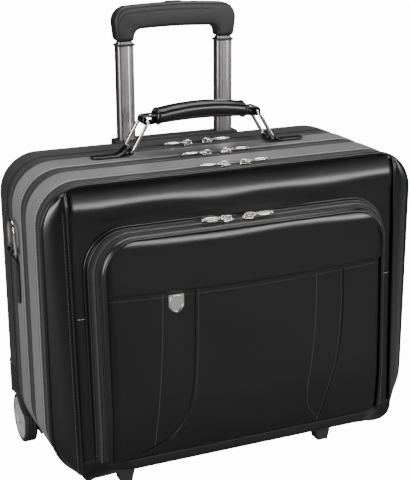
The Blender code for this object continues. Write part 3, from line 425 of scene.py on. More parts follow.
def make_finishes():
    return {
        "leather": leather_finish("smooth_leather", (0.0015, 0.0015, 0.0016), (0.003, 0.003, 0.0032),
                                  (0.27, 0.37), 1100.0, 0.14, 0.2),
        # Band leather: its own grey tone, raised further to a light grey as painted sheen for the light that
        # the bands' tops and sides catch.
        "band": leather_finish("band_leather", (0.17, 0.17, 0.171), (0.23, 0.23, 0.231),
                               (0.38, 0.5), 1500.0, 0.3),
        "piping": leather_finish("piping_leather", (0.003, 0.003, 0.003), (0.006, 0.006, 0.006),
                                 (0.25, 0.36), 1300.0, 0.15, 0.2),
        "thread": thread_finish(),
        "tape": tape_finish(),
        "teeth": plastic_finish("zip_teeth", (0.05, 0.05, 0.05), (0.09, 0.09, 0.091), (0.25, 0.4)),
        "nylon": nylon_finish("ballistic_nylon", (0.005, 0.005, 0.0055), (0.02, 0.02, 0.021)),
        "lining": nylon_finish("lining_cloth", (0.05, 0.05, 0.055), (0.1, 0.1, 0.108)),
        "nickel": metal_finish("bright_nickel", (0.66, 0.63, 0.6), (0.86, 0.83, 0.8), (0.12, 0.26)),
        "tube": tube_finish(),
        "plastic": plastic_finish("moulded_black", (0.012, 0.012, 0.0125), (0.02, 0.02, 0.021), (0.4, 0.56)),
        "rubber": plastic_finish("tyre_rubber", (0.022, 0.022, 0.023), (0.035, 0.035, 0.036), (0.55, 0.75),
                                 900.0),
        "hub": plastic_finish("hub_grey", (0.36, 0.36, 0.37), (0.44, 0.44, 0.45), (0.4, 0.55)),
    }


make_camera()
make_studio()
make_floor()
FINISH = make_finishes()


# --- Mesh helpers ---------------------------------------------------------------------------

def piece(name, points, faces, finish, body, thickness=0.0, sharp=38, subdivide=0, ride=True):
    """A mesh from points and faces; an open skin is thickened inward and so becomes closed."""
    mesh = bpy.data.meshes.new(name)
    mesh.from_pydata([tuple(point) for point in points], [], faces)
    bm = bmesh.new()
    bm.from_mesh(mesh)
    bmesh.ops.recalc_face_normals(bm, faces=bm.faces)
    bm.to_mesh(mesh)
    bm.free()
    mesh.shade_smooth()
    mesh.set_sharp_from_angle(angle=math.radians(sharp))
    mesh.materials.append(FINISH[finish])
    made = bpy.data.objects.new(name, mesh)
    bpy.context.scene.collection.objects.link(made)
    if thickness:
        step = made.modifiers.new("thickness", "SOLIDIFY")
        step.thickness = thickness
        step.offset = -1
        step.use_even_offset = True
    if subdivide:
        step = made.modifiers.new("smooth", "SUBSURF")
        step.levels = subdivide
        step.render_levels = subdivide
    if ride:
        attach(made, body)
    return made


def strip_faces(rows, columns, close_rows=False, close_columns=False):
    faces = []
    for row in range(rows if close_rows else rows - 1):
        below = (row + 1) % rows
        for column in range(columns if close_columns else columns - 1):
            beside = (column + 1) % columns
            faces.append((row * columns + column, row * columns + beside, below * columns + beside,
                          below * columns + column))
    return faces


def prism_faces(count):
    """Faces of a closed form between two outlines of the same number of points."""
    ends = [tuple(range(count)), tuple(range(2 * count - 1, count - 1, -1))]
    return strip_faces(2, count, close_columns=True) + ends


def skin(name, rows, finish, body, **settings):
    """An open sheet through rows of points; front says which way its outer face looks."""
    front = settings.pop("front", None)
    points = [point for row in rows for point in row]
    made = piece(name, points, strip_faces(len(rows), len(rows[0])), finish, body, **settings)
    if front is not None:
        face_outward(made, front)
    return made


def face_outward(made, front):
    """Turn an open sheet so that most of its faces look along front."""
    mesh = made.data
    total = sum((polygon.normal * polygon.area for polygon in mesh.polygons), Vector())
    if total.dot(Vector(front)) < 0:
        mesh.flip_normals()


def sweep(name, stations, profile, finish, body, closed=True, **settings):
    """A closed profile of (y, out) carried round stations of (x, z, outward x, outward z)."""
    rows = [[Vector((x + nx * out, y, z + nz * out)) for y, out in profile] for x, z, nx, nz in stations]
    points = [point for row in rows for point in row]
    faces = strip_faces(len(rows), len(profile), close_rows=closed, close_columns=True)
    if not closed:
        faces.append(tuple(range(len(profile))))
        faces.append(tuple(reversed(range(len(points) - len(profile), len(points)))))
    return piece(name, points, faces, finish, body, **settings)


def rounded_box(inset=0.0, half=CASE_HALF, low=CASE_LOW, high=CASE_TOP, low_radius=BOTTOM_RADIUS,
                high_radius=TOP_RADIUS, counts=(36, 26, 40, 14)):
    """Closed outline of the case as (x, z, outward x, outward z), even along each run."""
    half, low, high = half - inset, low + inset, high - inset
    low_radius, high_radius = low_radius - inset, high_radius - inset
    foot, side, head, corner = counts
    stations = []

    def straight(x0, z0, x1, z1, nx, nz, number):
        for step in range(number):
            share = step / number
            stations.append((x0 + (x1 - x0) * share, z0 + (z1 - z0) * share, nx, nz))

    def bend(x, z, radius, start):
        for step in range(corner):
            angle = math.radians(start + 90 * step / corner)
            stations.append((x + radius * math.cos(angle), z + radius * math.sin(angle), math.cos(angle),
                             math.sin(angle)))

    straight(low_radius - half, low, half - low_radius, low, 0, -1, foot)
    bend(half - low_radius, low + low_radius, low_radius, -90)
    straight(half, low + low_radius, half, high - high_radius, 1, 0, side)
    bend(half - high_radius, high - high_radius, high_radius, 0)
    straight(half - high_radius, high, high_radius - half, high, 0, 1, head)
    bend(high_radius - half, high - high_radius, high_radius, 90)
    straight(-half, high - high_radius, -half, low + low_radius, -1, 0, side)
    bend(low_radius - half, low + low_radius, low_radius, 180)
    return stations


def ring_profile(y, out, radius, sides=10):
    return [(y + radius * math.cos(2 * math.pi * k / sides),
             out + radius * math.sin(2 * math.pi * k / sides)) for k in range(sides)]


def tube_along(name, points, radius, finish, body, closed=False, sides=10, **settings):
    """A round bar through points; radius may be one value or one for each point."""
    points = [Vector(point) for point in points]
    count = len(points)
    radii = [radius] * count if isinstance(radius, float) else list(radius)
    tangents = []
    for index in range(count):
        before = points[index - 1] if closed or index else points[0]
        after = points[(index + 1) % count] if closed or index < count - 1 else points[-1]
        tangents.append((after - before).normalized())
    normal = tangents[0].orthogonal().normalized()
    rings = []
    for point, tangent, size in zip(points, tangents, radii):
        normal = (normal - tangent * normal.dot(tangent)).normalized()
        side = tangent.cross(normal)
        for step in range(sides):
            angle = 2 * math.pi * step / sides
            rings.append(point + (normal * math.cos(angle) + side * math.sin(angle)) * size)
    faces = strip_faces(count, sides, close_rows=closed, close_columns=True)
    if not closed:
        faces.append(tuple(range(sides)))
        faces.append(tuple(reversed(range(len(rings) - sides, len(rings)))))
    return piece(name, rings, faces, finish, body, **settings)


def evenly(points, ups, pitch, closed=False):
    """Places at even spacing along a path: position, direction and up, as arrays."""
    path = np.array([tuple(point) for point in points], float)
    up = np.array([tuple(vector) for vector in ups], float)
    if closed:
        path = np.vstack([path, path[:1]])
        up = np.vstack([up, up[:1]])
    run = np.concatenate([[0], np.cumsum(np.linalg.norm(np.diff(path, axis=0), axis=1))])
    count = max(2, int(run[-1] / pitch))
    along = (np.arange(count) + 0.5) * run[-1] / count

    def at(distance):
        return np.stack([np.interp(distance, run, path[:, k]) for k in range(3)], 1)

    place = at(along)
    ahead = at(np.minimum(along + pitch * 0.4, run[-1])) - at(np.maximum(along - pitch * 0.4, 0))
    ahead /= np.linalg.norm(ahead, axis=1)[:, None]
    lift = np.stack([np.interp(along, run, up[:, k]) for k in range(3)], 1)
    lift -= (lift * ahead).sum(1)[:, None] * ahead
    lift /= np.linalg.norm(lift, axis=1)[:, None]
    return place, ahead, lift


def scatter(name, places, shape, shape_faces, finish, body, **settings):
    """Copies of one small shape of (along, across, up) at each place, as one mesh."""
    place, ahead, lift = places
    across = np.cross(lift, ahead)
    shape = np.array(shape, float)
    points = (place[:, None, :] + shape[None, :, :1] * ahead[:, None, :]
              + shape[None, :, 1:2] * across[:, None, :]
              + shape[None, :, 2:] * lift[:, None, :]).reshape(-1, 3)
    faces = [tuple(index + copy * len(shape) for index in face) for copy in range(len(place))
             for face in shape_faces]
    return piece(name, points.tolist(), faces, finish, body, **settings)


def stitch_shape(length, radius, sides=6):
    points = [(-length / 2, 0, 0)]
    for along in (-0.32, 0.32):
        points += [(along * length, radius * math.cos(2 * math.pi * k / sides),
                    0.75 * radius * math.sin(2 * math.pi * k / sides)) for k in range(sides)]
    points.append((length / 2, 0, 0))
    faces = [(0, 1 + (k + 1) % sides, 1 + k) for k in range(sides)]
    faces += [(1 + k, 1 + (k + 1) % sides, 1 + sides + (k + 1) % sides, 1 + sides + k) for k in range(sides)]
    last = 1 + 2 * sides
    faces += [(last, 1 + sides + k, 1 + sides + (k + 1) % sides) for k in range(sides)]
    return points, faces


def stitches(name, points, ups, body, pitch=3.4 * MM, closed=False, radius=0.42 * MM):
    shape, faces = stitch_shape(pitch * 0.72, radius)
    return scatter(name, evenly(points, ups, pitch, closed), shape, faces, "thread", body)


def box_shape(length, width, height, taper=0.0):
    points = [(sx * length / 2, sy * width / 2, sz * height / 2 if sz < 0 else height / 2)
              for sz in (-1, 1) for sx, sy in ((-1, -1), (1, -1), (1, 1), (-1, 1))]
    points = [(x * (1 - taper * (z > 0)), y * (1 - taper * (z > 0)), z) for x, y, z in points]
    faces = [(3, 2, 1, 0), (4, 5, 6, 7)] + [(k, (k + 1) % 4, 4 + (k + 1) % 4, 4 + k) for k in range(4)]
    return points, faces


def teeth(name, points, ups, side, body, closed=True):
    """One side of a zip's coil: small bars that reach over the middle line."""
    place, ahead, lift = evenly(points, ups, 1.5 * MM, closed)
    across = np.cross(lift, ahead)
    place = place + across * side * 1.0 * MM + ahead * (0.75 * MM if side > 0 else 0)
    shape, faces = box_shape(0.8 * MM, 2.4 * MM, 1.1 * MM, 0.35)
    return scatter(name, (place, ahead, lift), shape, faces, "teeth", body)


def around(stations, y, out):
    return ([Vector((x + nx * out, y, z + nz * out)) for x, z, nx, nz in stations],
            [Vector((nx, 0, nz)) for x, z, nx, nz in stations])


def soft(x, z, seed, size=0.07, amount=0.7 * MM):
    """Slow, even unevenness of stretched leather."""
    return amount * noise.noise(Vector((x / size, z / size, seed)))


# --- Bands and zips round the case ------------------------------------------------------------

def leather_band(name, y_front, y_back, body, node_name):
    crown = 1.2 * MM
    depth = LEATHER
    profile = []
    steps = 9
    for step in range(steps + 1):
        share = step / steps
        y = y_front + (y_back - y_front) * share
        edge = min(share, 1 - share) * (y_back - y_front)
        lift = crown * min(1.0, edge / (4 * MM)) ** 0.5 if edge > 0 else 0
        profile.append((y, lift - 0.5 * MM))
    profile += [(y_back, -depth), (y_front, -depth)]
    band = sweep(name, rounded_box(), profile, "band", body, sharp=60)
    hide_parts(node_name)
    for label, y in (("front", y_front + 2.2 * MM), ("back", y_back - 2.2 * MM)):
        points, ups = around(rounded_box(), y, crown * 0.62 - 0.25 * MM)
        stitches("%s_stitches_%s" % (name, label), points, ups, body, closed=True)


def zip_half(name, y_teeth, y_edge, body, node_name=None):
    """One half of a zip: a ribbed tape with a cord along its edge, and its row of teeth."""
    top = TAPE_TOP - CASE_TOP
    thin = 0.8 * MM
    way = 1 if y_edge > y_teeth else -1
    start = y_teeth + way * 0.25 * MM
    profile = [(start, top - 0.5 * MM), (start + way * 2.6 * MM, top - 0.3 * MM),
               (start + way * 3.6 * MM, top),
               (y_edge - way * 3.0 * MM, top), (y_edge - way * 1.2 * MM, top + 0.25 * MM), (y_edge, top),
               (y_edge, top - thin), (start, top - thin - 0.3 * MM)]
    tape = sweep(name, rounded_box(), profile, "tape", body, sharp=50)
    if node_name:
        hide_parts(node_name)
    points, ups = around(rounded_box(counts=(60, 44, 66, 26)), y_teeth, top + 0.15 * MM)
    teeth(name + "_teeth", points, ups, -way, body)
    edge_points, edge_ups = around(rounded_box(), y_edge - way * 1.6 * MM, top + 0.25 * MM)
    stitches(name + "_stitches", edge_points, edge_ups, body, pitch=2.6 * MM, closed=True, radius=0.3 * MM)


def make_bands_and_zips():
    leather_band("section_leather_band", SECTION_BAND_FRONT, SECTION_BAND_BACK, "front_section",
                 "section_band")
    leather_band("main_leather_band", BAND_FRONT, BAND_BACK, "root", "main_band")
    zip_half("lid_zip", LID_Y, PIPING_Y + 2.2 * MM, "front_lid", "lid_zip_tape")
    zip_half("section_front_zip", LID_Y, SECTION_BAND_FRONT - 0.2 * MM, "front_section",
             "section_front_tape")
    zip_half("section_rear_zip", SECTION_Y, SECTION_BAND_BACK + 0.2 * MM, "front_section",
             "section_rear_tape")
    zip_half("main_front_zip", SECTION_Y, BAND_FRONT - 0.2 * MM, "root", "main_front_tape")
    zip_half("main_rear_zip", MAIN_Y, BAND_BACK + 0.2 * MM, "root")
    zip_half("rear_section_zip", MAIN_Y, REAR_TAPE_BACK, "root", "rear_zip_tape")


# --- Front lid --------------------------------------------------------------------------------

def panel_y(z):
    return PIPING_Y - PANEL_STAND - PANEL_RAKE * (CASE_TOP - z) / (CASE_TOP - POCKET_LOW)


def arch_edge(share, sign):
    """The arch piping's line from its upper corner, share 0, down to the foot, share 1."""
    first, last = math.radians(58), math.radians(-75)
    upper = TOP_RADIUS * first
    side = CASE_TOP - TOP_RADIUS - CASE_LOW - BOTTOM_RADIUS
    lower = BOTTOM_RADIUS * -last
    run = share * (upper + side + lower)
    if run < upper:
        angle = first - run / TOP_RADIUS
        x = CASE_HALF - TOP_RADIUS + TOP_RADIUS * math.cos(angle)
        z = CASE_TOP - TOP_RADIUS + TOP_RADIUS * math.sin(angle)
    elif run < upper + side:
        x = CASE_HALF
        z = CASE_TOP - TOP_RADIUS - (run - upper)
    else:
        angle = -(run - upper - side) / BOTTOM_RADIUS
        x = CASE_HALF - BOTTOM_RADIUS + BOTTOM_RADIUS * math.cos(angle)
        z = CASE_LOW + BOTTOM_RADIUS + BOTTOM_RADIUS * math.sin(angle)
    return Vector((sign * x, PIPING_Y, z))


def front_edge(share, sign):
    """The front piping's line: down beside the panel, then under the case to the arch piping."""
    turn = 0.86
    foot_z = PIPING_FOOT_Z
    if share < turn:
        z = PIPING_HEAD_Z - (PIPING_HEAD_Z - foot_z) * share / turn
        rise = max(0.0, (z - PIPING_BEND_Z) / PIPING_BEND)
        y = PIPING_Y + (panel_y(z) - PIPING_Y) * math.sqrt(max(0.0, 1 - rise ** 2))
        return Vector((sign * (PANEL_HALF - 1.5 * MM * share), y, z))
    angle = math.pi / 2 * (share - turn) / (1 - turn)
    back = 1 - math.cos(angle)
    x = PANEL_HALF - 1.5 * MM * turn - PIPING_TUCK * back ** 1.2
    y = panel_y(foot_z) + (PIPING_Y - 2 * MM - panel_y(foot_z)) * back
    return Vector((sign * x, y, foot_z - PIPING_FALL * math.sin(angle)))


def make_gussets():
    rows = 70
    for side, sign in (("left", -1), ("right", 1)):
        sheet = []
        for row in range(rows + 1):
            share = row / rows
            back, front = arch_edge(share, sign), front_edge(share, sign)
            line = []
            for column in range(9):
                across = column / 8
                point = back.lerp(front, across)
                swell = math.sin(math.pi * across)
                puff = 2.2 * MM * swell
                puff += soft(point.y, point.z, 3.0 + sign, 0.05, 0.5 * MM) * swell
                point += Vector((sign * 0.7, -0.7, 0)) * puff
                line.append(point)
            sheet.append(line)
        skin("lid_gusset_" + side, sheet, "leather", "front_lid", thickness=1.2 * MM, front=(sign, -1, 0))
        points = [front_edge(row / rows, sign) + Vector((sign * 0.3 * MM, -0.6 * MM, 0))
                  for row in range(rows + 1)]
        tube_along("front_piping_" + side, points, PIPING_RADIUS, "piping", "front_lid")
        seam = [point + Vector((sign * 4.2 * MM, 1.0 * MM, 0)) for point in points[4:-4]]
        stitches("gusset_stitches_" + side, seam, [Vector((sign, -1, 0))] * len(seam), "front_lid",
                 radius=0.3 * MM)


def panel_surface(x, z):
    """The front panel's face: it leans back over its shoulder and bulges a little in the middle."""
    rise = max(0.0, (z - PANEL_SHOULDER) / (PANEL_TOP - PANEL_SHOULDER))
    dip = 2.4 * MM * math.sin(math.pi * min(1.0, rise)) ** 2
    fall = math.sqrt(max(0.0, 1 - min(1.0, rise) ** 2.6))
    y = PIPING_Y + (panel_y(z) - PIPING_Y - dip) * fall
    edge = max(0.0, 1 - (PANEL_HALF - abs(x)) / (7 * MM))
    y += 2.6 * MM * edge ** 2
    middle = math.cos(math.pi * x / (2 * PANEL_HALF)) * max(0.0, 1 - rise)
    y -= 2.2 * MM * middle
    y -= soft(x, z, 7.5, 0.09, 2.3 * MM) * (1 - edge) * (1 - min(1.0, rise))
    crease = math.exp(-((z - 321 * MM) / (9 * MM)) ** 2) * math.sin(x / (21 * MM))
    return y + 0.6 * MM * crease * (1 - edge)


def make_front_panel():
    rows, columns = 84, 96
    low, top = PIPING_FOOT_Z - 4 * MM, PANEL_TOP
    sheet = []
    for row in range(rows + 1):
        share = row / rows
        z = low + (top - low) * math.sin(share * math.pi / 2) ** 0.92
        corner = max(0.0, (z - (top - 9 * MM)) / (9 * MM))
        half = PANEL_HALF - 9 * MM * (1 - math.sqrt(max(0.0, 1 - corner ** 2)))
        line = []
        for column in range(columns + 1):
            x = half * math.sin(math.pi / 2 * (2 * column / columns - 1))
            line.append(Vector((x, panel_surface(x, z), z)))
        sheet.append(line)
    panel = skin("front_panel", sheet, "leather", "front_lid", thickness=1.6 * MM, front=(0, -1, 0))
    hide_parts("lid_panel")
    sweep("arch_piping", rounded_box(), ring_profile(PIPING_Y, -0.4 * MM, PIPING_RADIUS + 0.2 * MM),
          "piping", "front_lid")
    rim = [(PIPING_Y + 1.2 * MM, -0.4 * MM), (LID_Y - 0.4 * MM, -2.2 * MM), (LID_Y - 0.4 * MM, -4.2 * MM),
           (PIPING_Y + 1.2 * MM, -3.4 * MM)]
    sweep("lid_rim", rounded_box(), rim, "leather", "front_lid", sharp=30)
    seam_z = 216 * MM
    for side, sign in (("left", -1), ("right", 1)):
        seam = [Vector((sign * x * MM, panel_surface(sign * x * MM, seam_z) - 0.2 * MM,
                        seam_z + (x - 176) * 0.02 * MM)) for x in range(176, 189)]
        tube_along("side_seam_" + side, seam, 0.9 * MM, "piping", "front_lid", sides=8)


def foot_roll(z):
    """How far the front piping has turned under the case at this height, 0 above its bend to 1 beneath."""
    drop = min(1.0, max(0.0, (PIPING_FOOT_Z - z) / PIPING_FALL))
    return 1 - math.sqrt(1 - drop ** 2)


def side_limit(z):
    """How far out the base band reaches at this height: up to the front piping."""
    return PANEL_HALF - 2.6 * MM - PIPING_TUCK * foot_roll(z) ** 1.2


def make_base_band():
    """Leather band below the pocket: full depth in the middle, drawn back to the panel at its ends."""
    sheet = []
    columns, rows = 90, 24
    underside = CASE_LOW + 0.8 * MM
    for column in range(columns + 1):
        u = math.sin(math.pi / 2 * (2 * column / columns - 1))
        side = min(1.0, max(0.0, (abs(u) * PANEL_HALF - 140 * MM) / (40 * MM)))
        ease = side * side * (3 - 2 * side)
        z_top = POCKET_LOW + 0.8 * MM
        y_front = panel_y(z_top) - POCKET_DEPTH * 0.74
        line = []
        for row in range(rows + 1):
            share = row / rows
            if share < 0.6:
                along = share / 0.6
                z = underside + UNDERSIDE_RISE * (along - 0.06 * math.sin(math.pi * along))
                y_middle = PIPING_Y - 1 * MM + (y_front - PIPING_Y + 1 * MM) * along
            else:
                rest = (share - 0.6) / 0.4
                z = underside + UNDERSIDE_RISE + (z_top - underside - UNDERSIDE_RISE) * rest
                y_middle = y_front + 1.6 * MM * rest ** 2
            panel_front = panel_y(max(z, PIPING_FOOT_Z))
            y_end = panel_front + (PIPING_Y - 2 * MM - panel_front) * foot_roll(z) - 1.2 * MM
            line.append(Vector((u * side_limit(z), y_middle + (y_end - y_middle) * ease, z)))
        line.append(line[-1] + Vector((0, 4 * MM, 0.4 * MM)))
        sheet.append(line)
    skin("base_band", sheet, "leather", "front_lid", thickness=1.6 * MM, front=(0, -1, -1), sharp=70)
    seam = [line[-4] + Vector((0, -0.3 * MM, 0)) for line in sheet[4:-4]]
    stitches("base_band_stitches", seam, [Vector((0, -1, 0))] * len(seam), "front_lid", radius=0.3 * MM)


# --- Pocket -----------------------------------------------------------------------------------

def depth_share(z):
    """How much of its full depth the pocket has at this height: less towards its foot."""
    foot = min(1.0, max(0.0, (z - POCKET_LOW) / POCKET_TAPER))
    return 0.72 + 0.28 * foot * (2 - foot)


def pocket_arch(share, counts=POCKET_COUNTS):
    """The pocket's edge from its right foot over the top to its left foot: x, z, outward x and z."""
    half = POCKET_HALF - FACE_INSET * share
    high = POCKET_HIGH - FACE_DROP * share
    radius = POCKET_RADIUS - FACE_INSET * share / 2
    low = POCKET_LOW
    side, corner, head = counts
    right = []
    for step in range(side):
        right.append((half, low + (high - radius - low) * step / side, 1, 0))
    for step in range(corner):
        angle = math.radians(90 * step / corner)
        right.append((half - radius + radius * math.cos(angle), high - radius + radius * math.sin(angle),
                      math.cos(angle), math.sin(angle)))
    top = [((half - radius) * (1 - 2 * step / head), high, 0, 1) for step in range(head + 1)]
    left = [(-x, z, -nx, nz) for x, z, nx, nz in reversed(right)]
    return right + top + left


def pocket_line(share, lift=0.0, counts=POCKET_COUNTS):
    """Points on the pocket's side wall at this share of its depth, and their outward directions."""
    proud = POCKET_WALL * 0.2 + (POCKET_DEPTH - POCKET_WALL * 0.2) * share
    points, ups = [], []
    for x, z, nx, nz in pocket_arch(share, counts):
        depth = proud * depth_share(z)
        puff = lift + 1.4 * MM * math.sin(math.pi * share)
        points.append(Vector((x + nx * puff, panel_y(z) - depth, z + nz * puff)))
        ups.append(Vector((nx, 0, nz)) + Vector((0, -0.4, 0)))
    return points, ups


def face_surface(x, z):
    """The pocket's front face, which the flap and its hem are laid over, with rolled edges and the soft sag
    of the leather.
    """
    depth = POCKET_DEPTH * depth_share(z)
    half = POCKET_HALF - FACE_INSET
    edge = max(0.0, 1 - (half - abs(x)) / (9 * MM))
    head = max(0.0, 1 - (POCKET_HIGH - FACE_DROP - z) / (10 * MM))
    y = panel_y(z) - depth - 1.8 * MM * math.cos(math.pi * x / (2 * half))
    y += 2.4 * MM * min(1.0, edge ** 2 + head ** 2)
    return y - soft(x, z, 1.3, 0.08, 1.5 * MM) * (1 - edge) * (1 - head)


def hem_height(x):
    """The flap's lower edge sags a little between its two ends."""
    rise = 2.0 * MM * (x / POCKET_HALF) ** 2
    sag = 3.0 * MM * math.cos(math.pi * x / (2 * POCKET_HALF))
    return HEM_Z + rise - sag + 1.5 * MM


def half_width(z, share=1.0, shrink=0.0):
    half = POCKET_HALF - FACE_INSET * share - shrink
    high = POCKET_HIGH - FACE_DROP * share - shrink
    radius = POCKET_RADIUS - FACE_INSET * share / 2 - shrink
    over = max(0.0, z - (high - radius))
    return half - radius + math.sqrt(max(0.0, radius ** 2 - min(over, radius) ** 2))


def make_pocket():
    bands = (("pocket_flange", "leather", 0.0, 0.26, 0.3 * MM),
             ("pocket_tape_rear", "tape", 0.27, 0.485, 0.0),
             ("pocket_tape_front", "tape", 0.515, 0.73, 0.0),
             ("pocket_edge_band", "leather", 0.74, 0.98, 0.3 * MM))
    for name, finish, first, last, lift in bands:
        rows = []
        for step in range(5):
            share = first + (last - first) * step / 4
            swell = 0.6 * MM * math.sin(math.pi * step / 4) if finish == "leather" else 0
            rows.append(pocket_line(share, lift + swell)[0])
        made = skin(name, rows, finish, "front_lid", thickness=1.1 * MM)
        outward_from(made, Vector((0, LID_Y, (POCKET_LOW + POCKET_HIGH) / 2)))
        if name == "pocket_tape_rear":
            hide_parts("pocket_zip_tape")
    for name, share in (("pocket_outer_piping", 0.0), ("pocket_inner_piping", 1.0)):
        points = pocket_line(share, 0.6 * MM)[0]
        tube_along(name, points, PIPING_RADIUS * (0.85 if share == 0 else 1.0), "piping", "front_lid")
    points, ups = pocket_line(0.5, 0.4 * MM, (80, 30, 80))
    ups = [Vector((up.x, 0, up.z)) for up in ups]
    for label, side in (("rear", -1), ("front", 1)):
        teeth("pocket_teeth_" + label, points, ups, side, "front_lid", closed=False)
    for label, share in (("rear", 0.22), ("front", 0.78)):
        points, ups = pocket_line(share, 0.55 * MM)
        stitches("pocket_stitches_" + label, points, ups, "front_lid", pitch=3 * MM, radius=0.3 * MM)
    face = make_pocket_face()
    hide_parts("pocket_shell")
    make_flap()
    make_face_seams()


def outward_from(made, centre):
    mesh = made.data
    total = sum((polygon.normal.dot(polygon.center - centre) * polygon.area for polygon in mesh.polygons),
                0.0)
    if total < 0:
        mesh.flip_normals()


def face_grid(low_of, high_of, rows, columns, shift, shrink=0.0):
    """Rows of points across the pocket's face between two edges, moved out by shift(x, z, share)."""
    sheet = []
    for row in range(rows + 1):
        share = row / rows
        line = []
        for column in range(columns + 1):
            u = math.sin(math.pi / 2 * (2 * column / columns - 1))
            x = u * (POCKET_HALF - FACE_INSET)
            for _ in range(3):
                z = low_of(x) + (high_of(x) - low_of(x)) * share
                x = u * half_width(z, 1.0, shrink)
            line.append(Vector((x, face_surface(x, z) - shift(x, z, share), z)))
        sheet.append(line)
    return sheet


def make_pocket_face():
    sheet = face_grid(lambda x: POCKET_LOW, lambda x: hem_height(x) + 4 * MM, 70, 96,
                      lambda x, z, share: 0.0)
    face = skin("pocket_face", sheet, "leather", "front_lid", thickness=1.6 * MM, front=(0, -1, 0))
    return face


def make_flap():
    """The upper leather of the face: it laps over the lower one and ends in a rolled hem."""
    top = POCKET_HIGH - FACE_DROP

    def proud(x, z, share):
        drop = (z - hem_height(x)) / (4 * MM)
        roll = math.sqrt(max(0.0, 1 - (1 - min(1.0, drop)) ** 2))
        return 0.5 * MM + 2.1 * MM * roll * max(0.25, 1 - share)

    rows, columns = 44, 96
    sheet = []
    for row in range(rows + 1):
        share = (row / rows) ** 1.5
        line = []
        for column in range(columns + 1):
            u = math.sin(math.pi / 2 * (2 * column / columns - 1))
            x = u * (POCKET_HALF - FACE_INSET)
            for _ in range(3):
                z = hem_height(x) + (top - hem_height(x)) * share
                x = u * half_width(z)
            line.append(Vector((x, face_surface(x, z) - proud(x, z, share), z)))
        sheet.append(line)
    flap = skin("pocket_flap", sheet, "leather", "front_lid", thickness=1.4 * MM, front=(0, -1, 0), sharp=60)


def seam_curve(points, steps=60):
    """A smooth line through a few points of (x, z) in millimetres, laid on the face."""
    path = [Vector((x, z, 0)) * MM for x, z in points]
    line = []
    for step in range(steps + 1):
        position = step / steps * (len(path) - 1)
        index = min(int(position), len(path) - 2)
        share = position - index
        p0 = path[max(index - 1, 0)]
        p1, p2 = path[index], path[index + 1]
        p3 = path[min(index + 2, len(path) - 1)]
        spot = 0.5 * ((2 * p1) + (p2 - p0) * share + (2 * p0 - 5 * p1 + 4 * p2 - p3) * share ** 2
                      + (3 * p1 - p0 - 3 * p2 + p3) * share ** 3)
        line.append(Vector((spot.x, face_surface(spot.x, spot.y), spot.y)))
    return line


FOLDED_SEAMS = {  # the two open folds of the face, from the hem down
    "left": ((-64, 240), (-66, 180), (-70, 130), (-79, 98), (-96, 78), (-128, 64)),
    "right": ((112, 240), (112, 190), (106, 140), (95, 100), (84, 62)),
}
PLAIN_SEAMS = {
    "left": ((-101, 240), (-103, 190), (-108, 130), (-114, 68)),
    "right": ((78, 240), (77, 190), (72, 140), (67, 110), (69, 84), (84, 64)),
}


def make_face_seams():
    for side, points in FOLDED_SEAMS.items():
        line = seam_curve(points)
        way = -1 if side == "left" else 1
        fold = [point + Vector((0, -0.35 * MM, 0)) for point in line]
        tube_along("face_fold_" + side, fold, 1.15 * MM, "leather", "front_lid", sides=8)
        beside = [point + Vector((-way * 3 * MM, -0.35 * MM, 0)) for point in line]
        stitches("face_fold_stitches_" + side, beside, [Vector((0, -1, 0))] * len(beside), "front_lid",
                 pitch=2.8 * MM, radius=0.28 * MM)
    for side, points in PLAIN_SEAMS.items():
        line = seam_curve(points)
        stitches("face_seam_" + side, [point + Vector((0, -0.25 * MM, 0)) for point in line],
                 [Vector((0, -1, 0))] * len(line), "front_lid", pitch=2.8 * MM, radius=0.32 * MM)
    hem = []
    for step in range(81):
        x = (2 * step / 80 - 1) * (half_width(HEM_Z) - 3 * MM)
        z = hem_height(x) - 4.5 * MM
        hem.append(Vector((x, face_surface(x, z) - 0.25 * MM, z)))
    stitches("hem_stitches", hem, [Vector((0, -1, 0))] * len(hem), "front_lid", pitch=2.8 * MM,
             radius=0.28 * MM)


# --- Rear section -----------------------------------------------------------------------------

def box_cutter(low, high, edge=0.0):
    bm = bmesh.new()
    bmesh.ops.create_cube(bm, size=1)
    size = Vector(high) - Vector(low)
    bmesh.ops.scale(bm, vec=size, verts=bm.verts)
    bmesh.ops.translate(bm, vec=(Vector(low) + Vector(high)) / 2, verts=bm.verts)
    if edge:
        bmesh.ops.bevel(bm, geom=bm.edges[:], offset=edge, segments=3, affect="EDGES", profile=0.5)
    return bm


def rod_cutter(centre, radius, length, axis="X", segments=24):
    bm = bmesh.new()
    bmesh.ops.create_cone(bm, cap_ends=True, segments=segments, radius1=radius, radius2=radius, depth=length)
    turn = Matrix.Rotation(math.pi / 2, 3, "Y" if axis == "X" else "X")
    bmesh.ops.transform(bm, matrix=turn.to_4x4(), verts=bm.verts)
    bmesh.ops.translate(bm, vec=centre, verts=bm.verts)
    return bm


def cut(made, cutters):
    """Cuts these closed forms out of a piece for good."""
    helpers = []
    for number, bm in enumerate(cutters):
        mesh = bpy.data.meshes.new("cutter")
        bm.to_mesh(mesh)
        bm.free()
        helper = bpy.data.objects.new("cutter_%d" % number, mesh)
        bpy.context.scene.collection.objects.link(helper)
        step = made.modifiers.new("cut_%d" % number, "BOOLEAN")
        step.object = helper
        step.operation = "DIFFERENCE"
        step.solver = "EXACT"
        helpers.append(helper)
    shape = made.evaluated_get(bpy.context.evaluated_depsgraph_get())
    mesh = bpy.data.meshes.new_from_object(shape)
    made.modifiers.clear()
    made.data = mesh
    mesh.shade_smooth()
    mesh.set_sharp_from_angle(angle=math.radians(32))
    for helper in helpers:
        bpy.data.objects.remove(helper, do_unlink=True)
    return made


def solid_box(name, low, high, finish, body, edge):
    bm = box_cutter(low, high, edge)
    points = [vert.co.copy() for vert in bm.verts]
    bm.verts.index_update()
    faces = [tuple(vert.index for vert in face.verts) for face in bm.faces]
    bm.free()
    return piece(name, points, faces, finish, body)


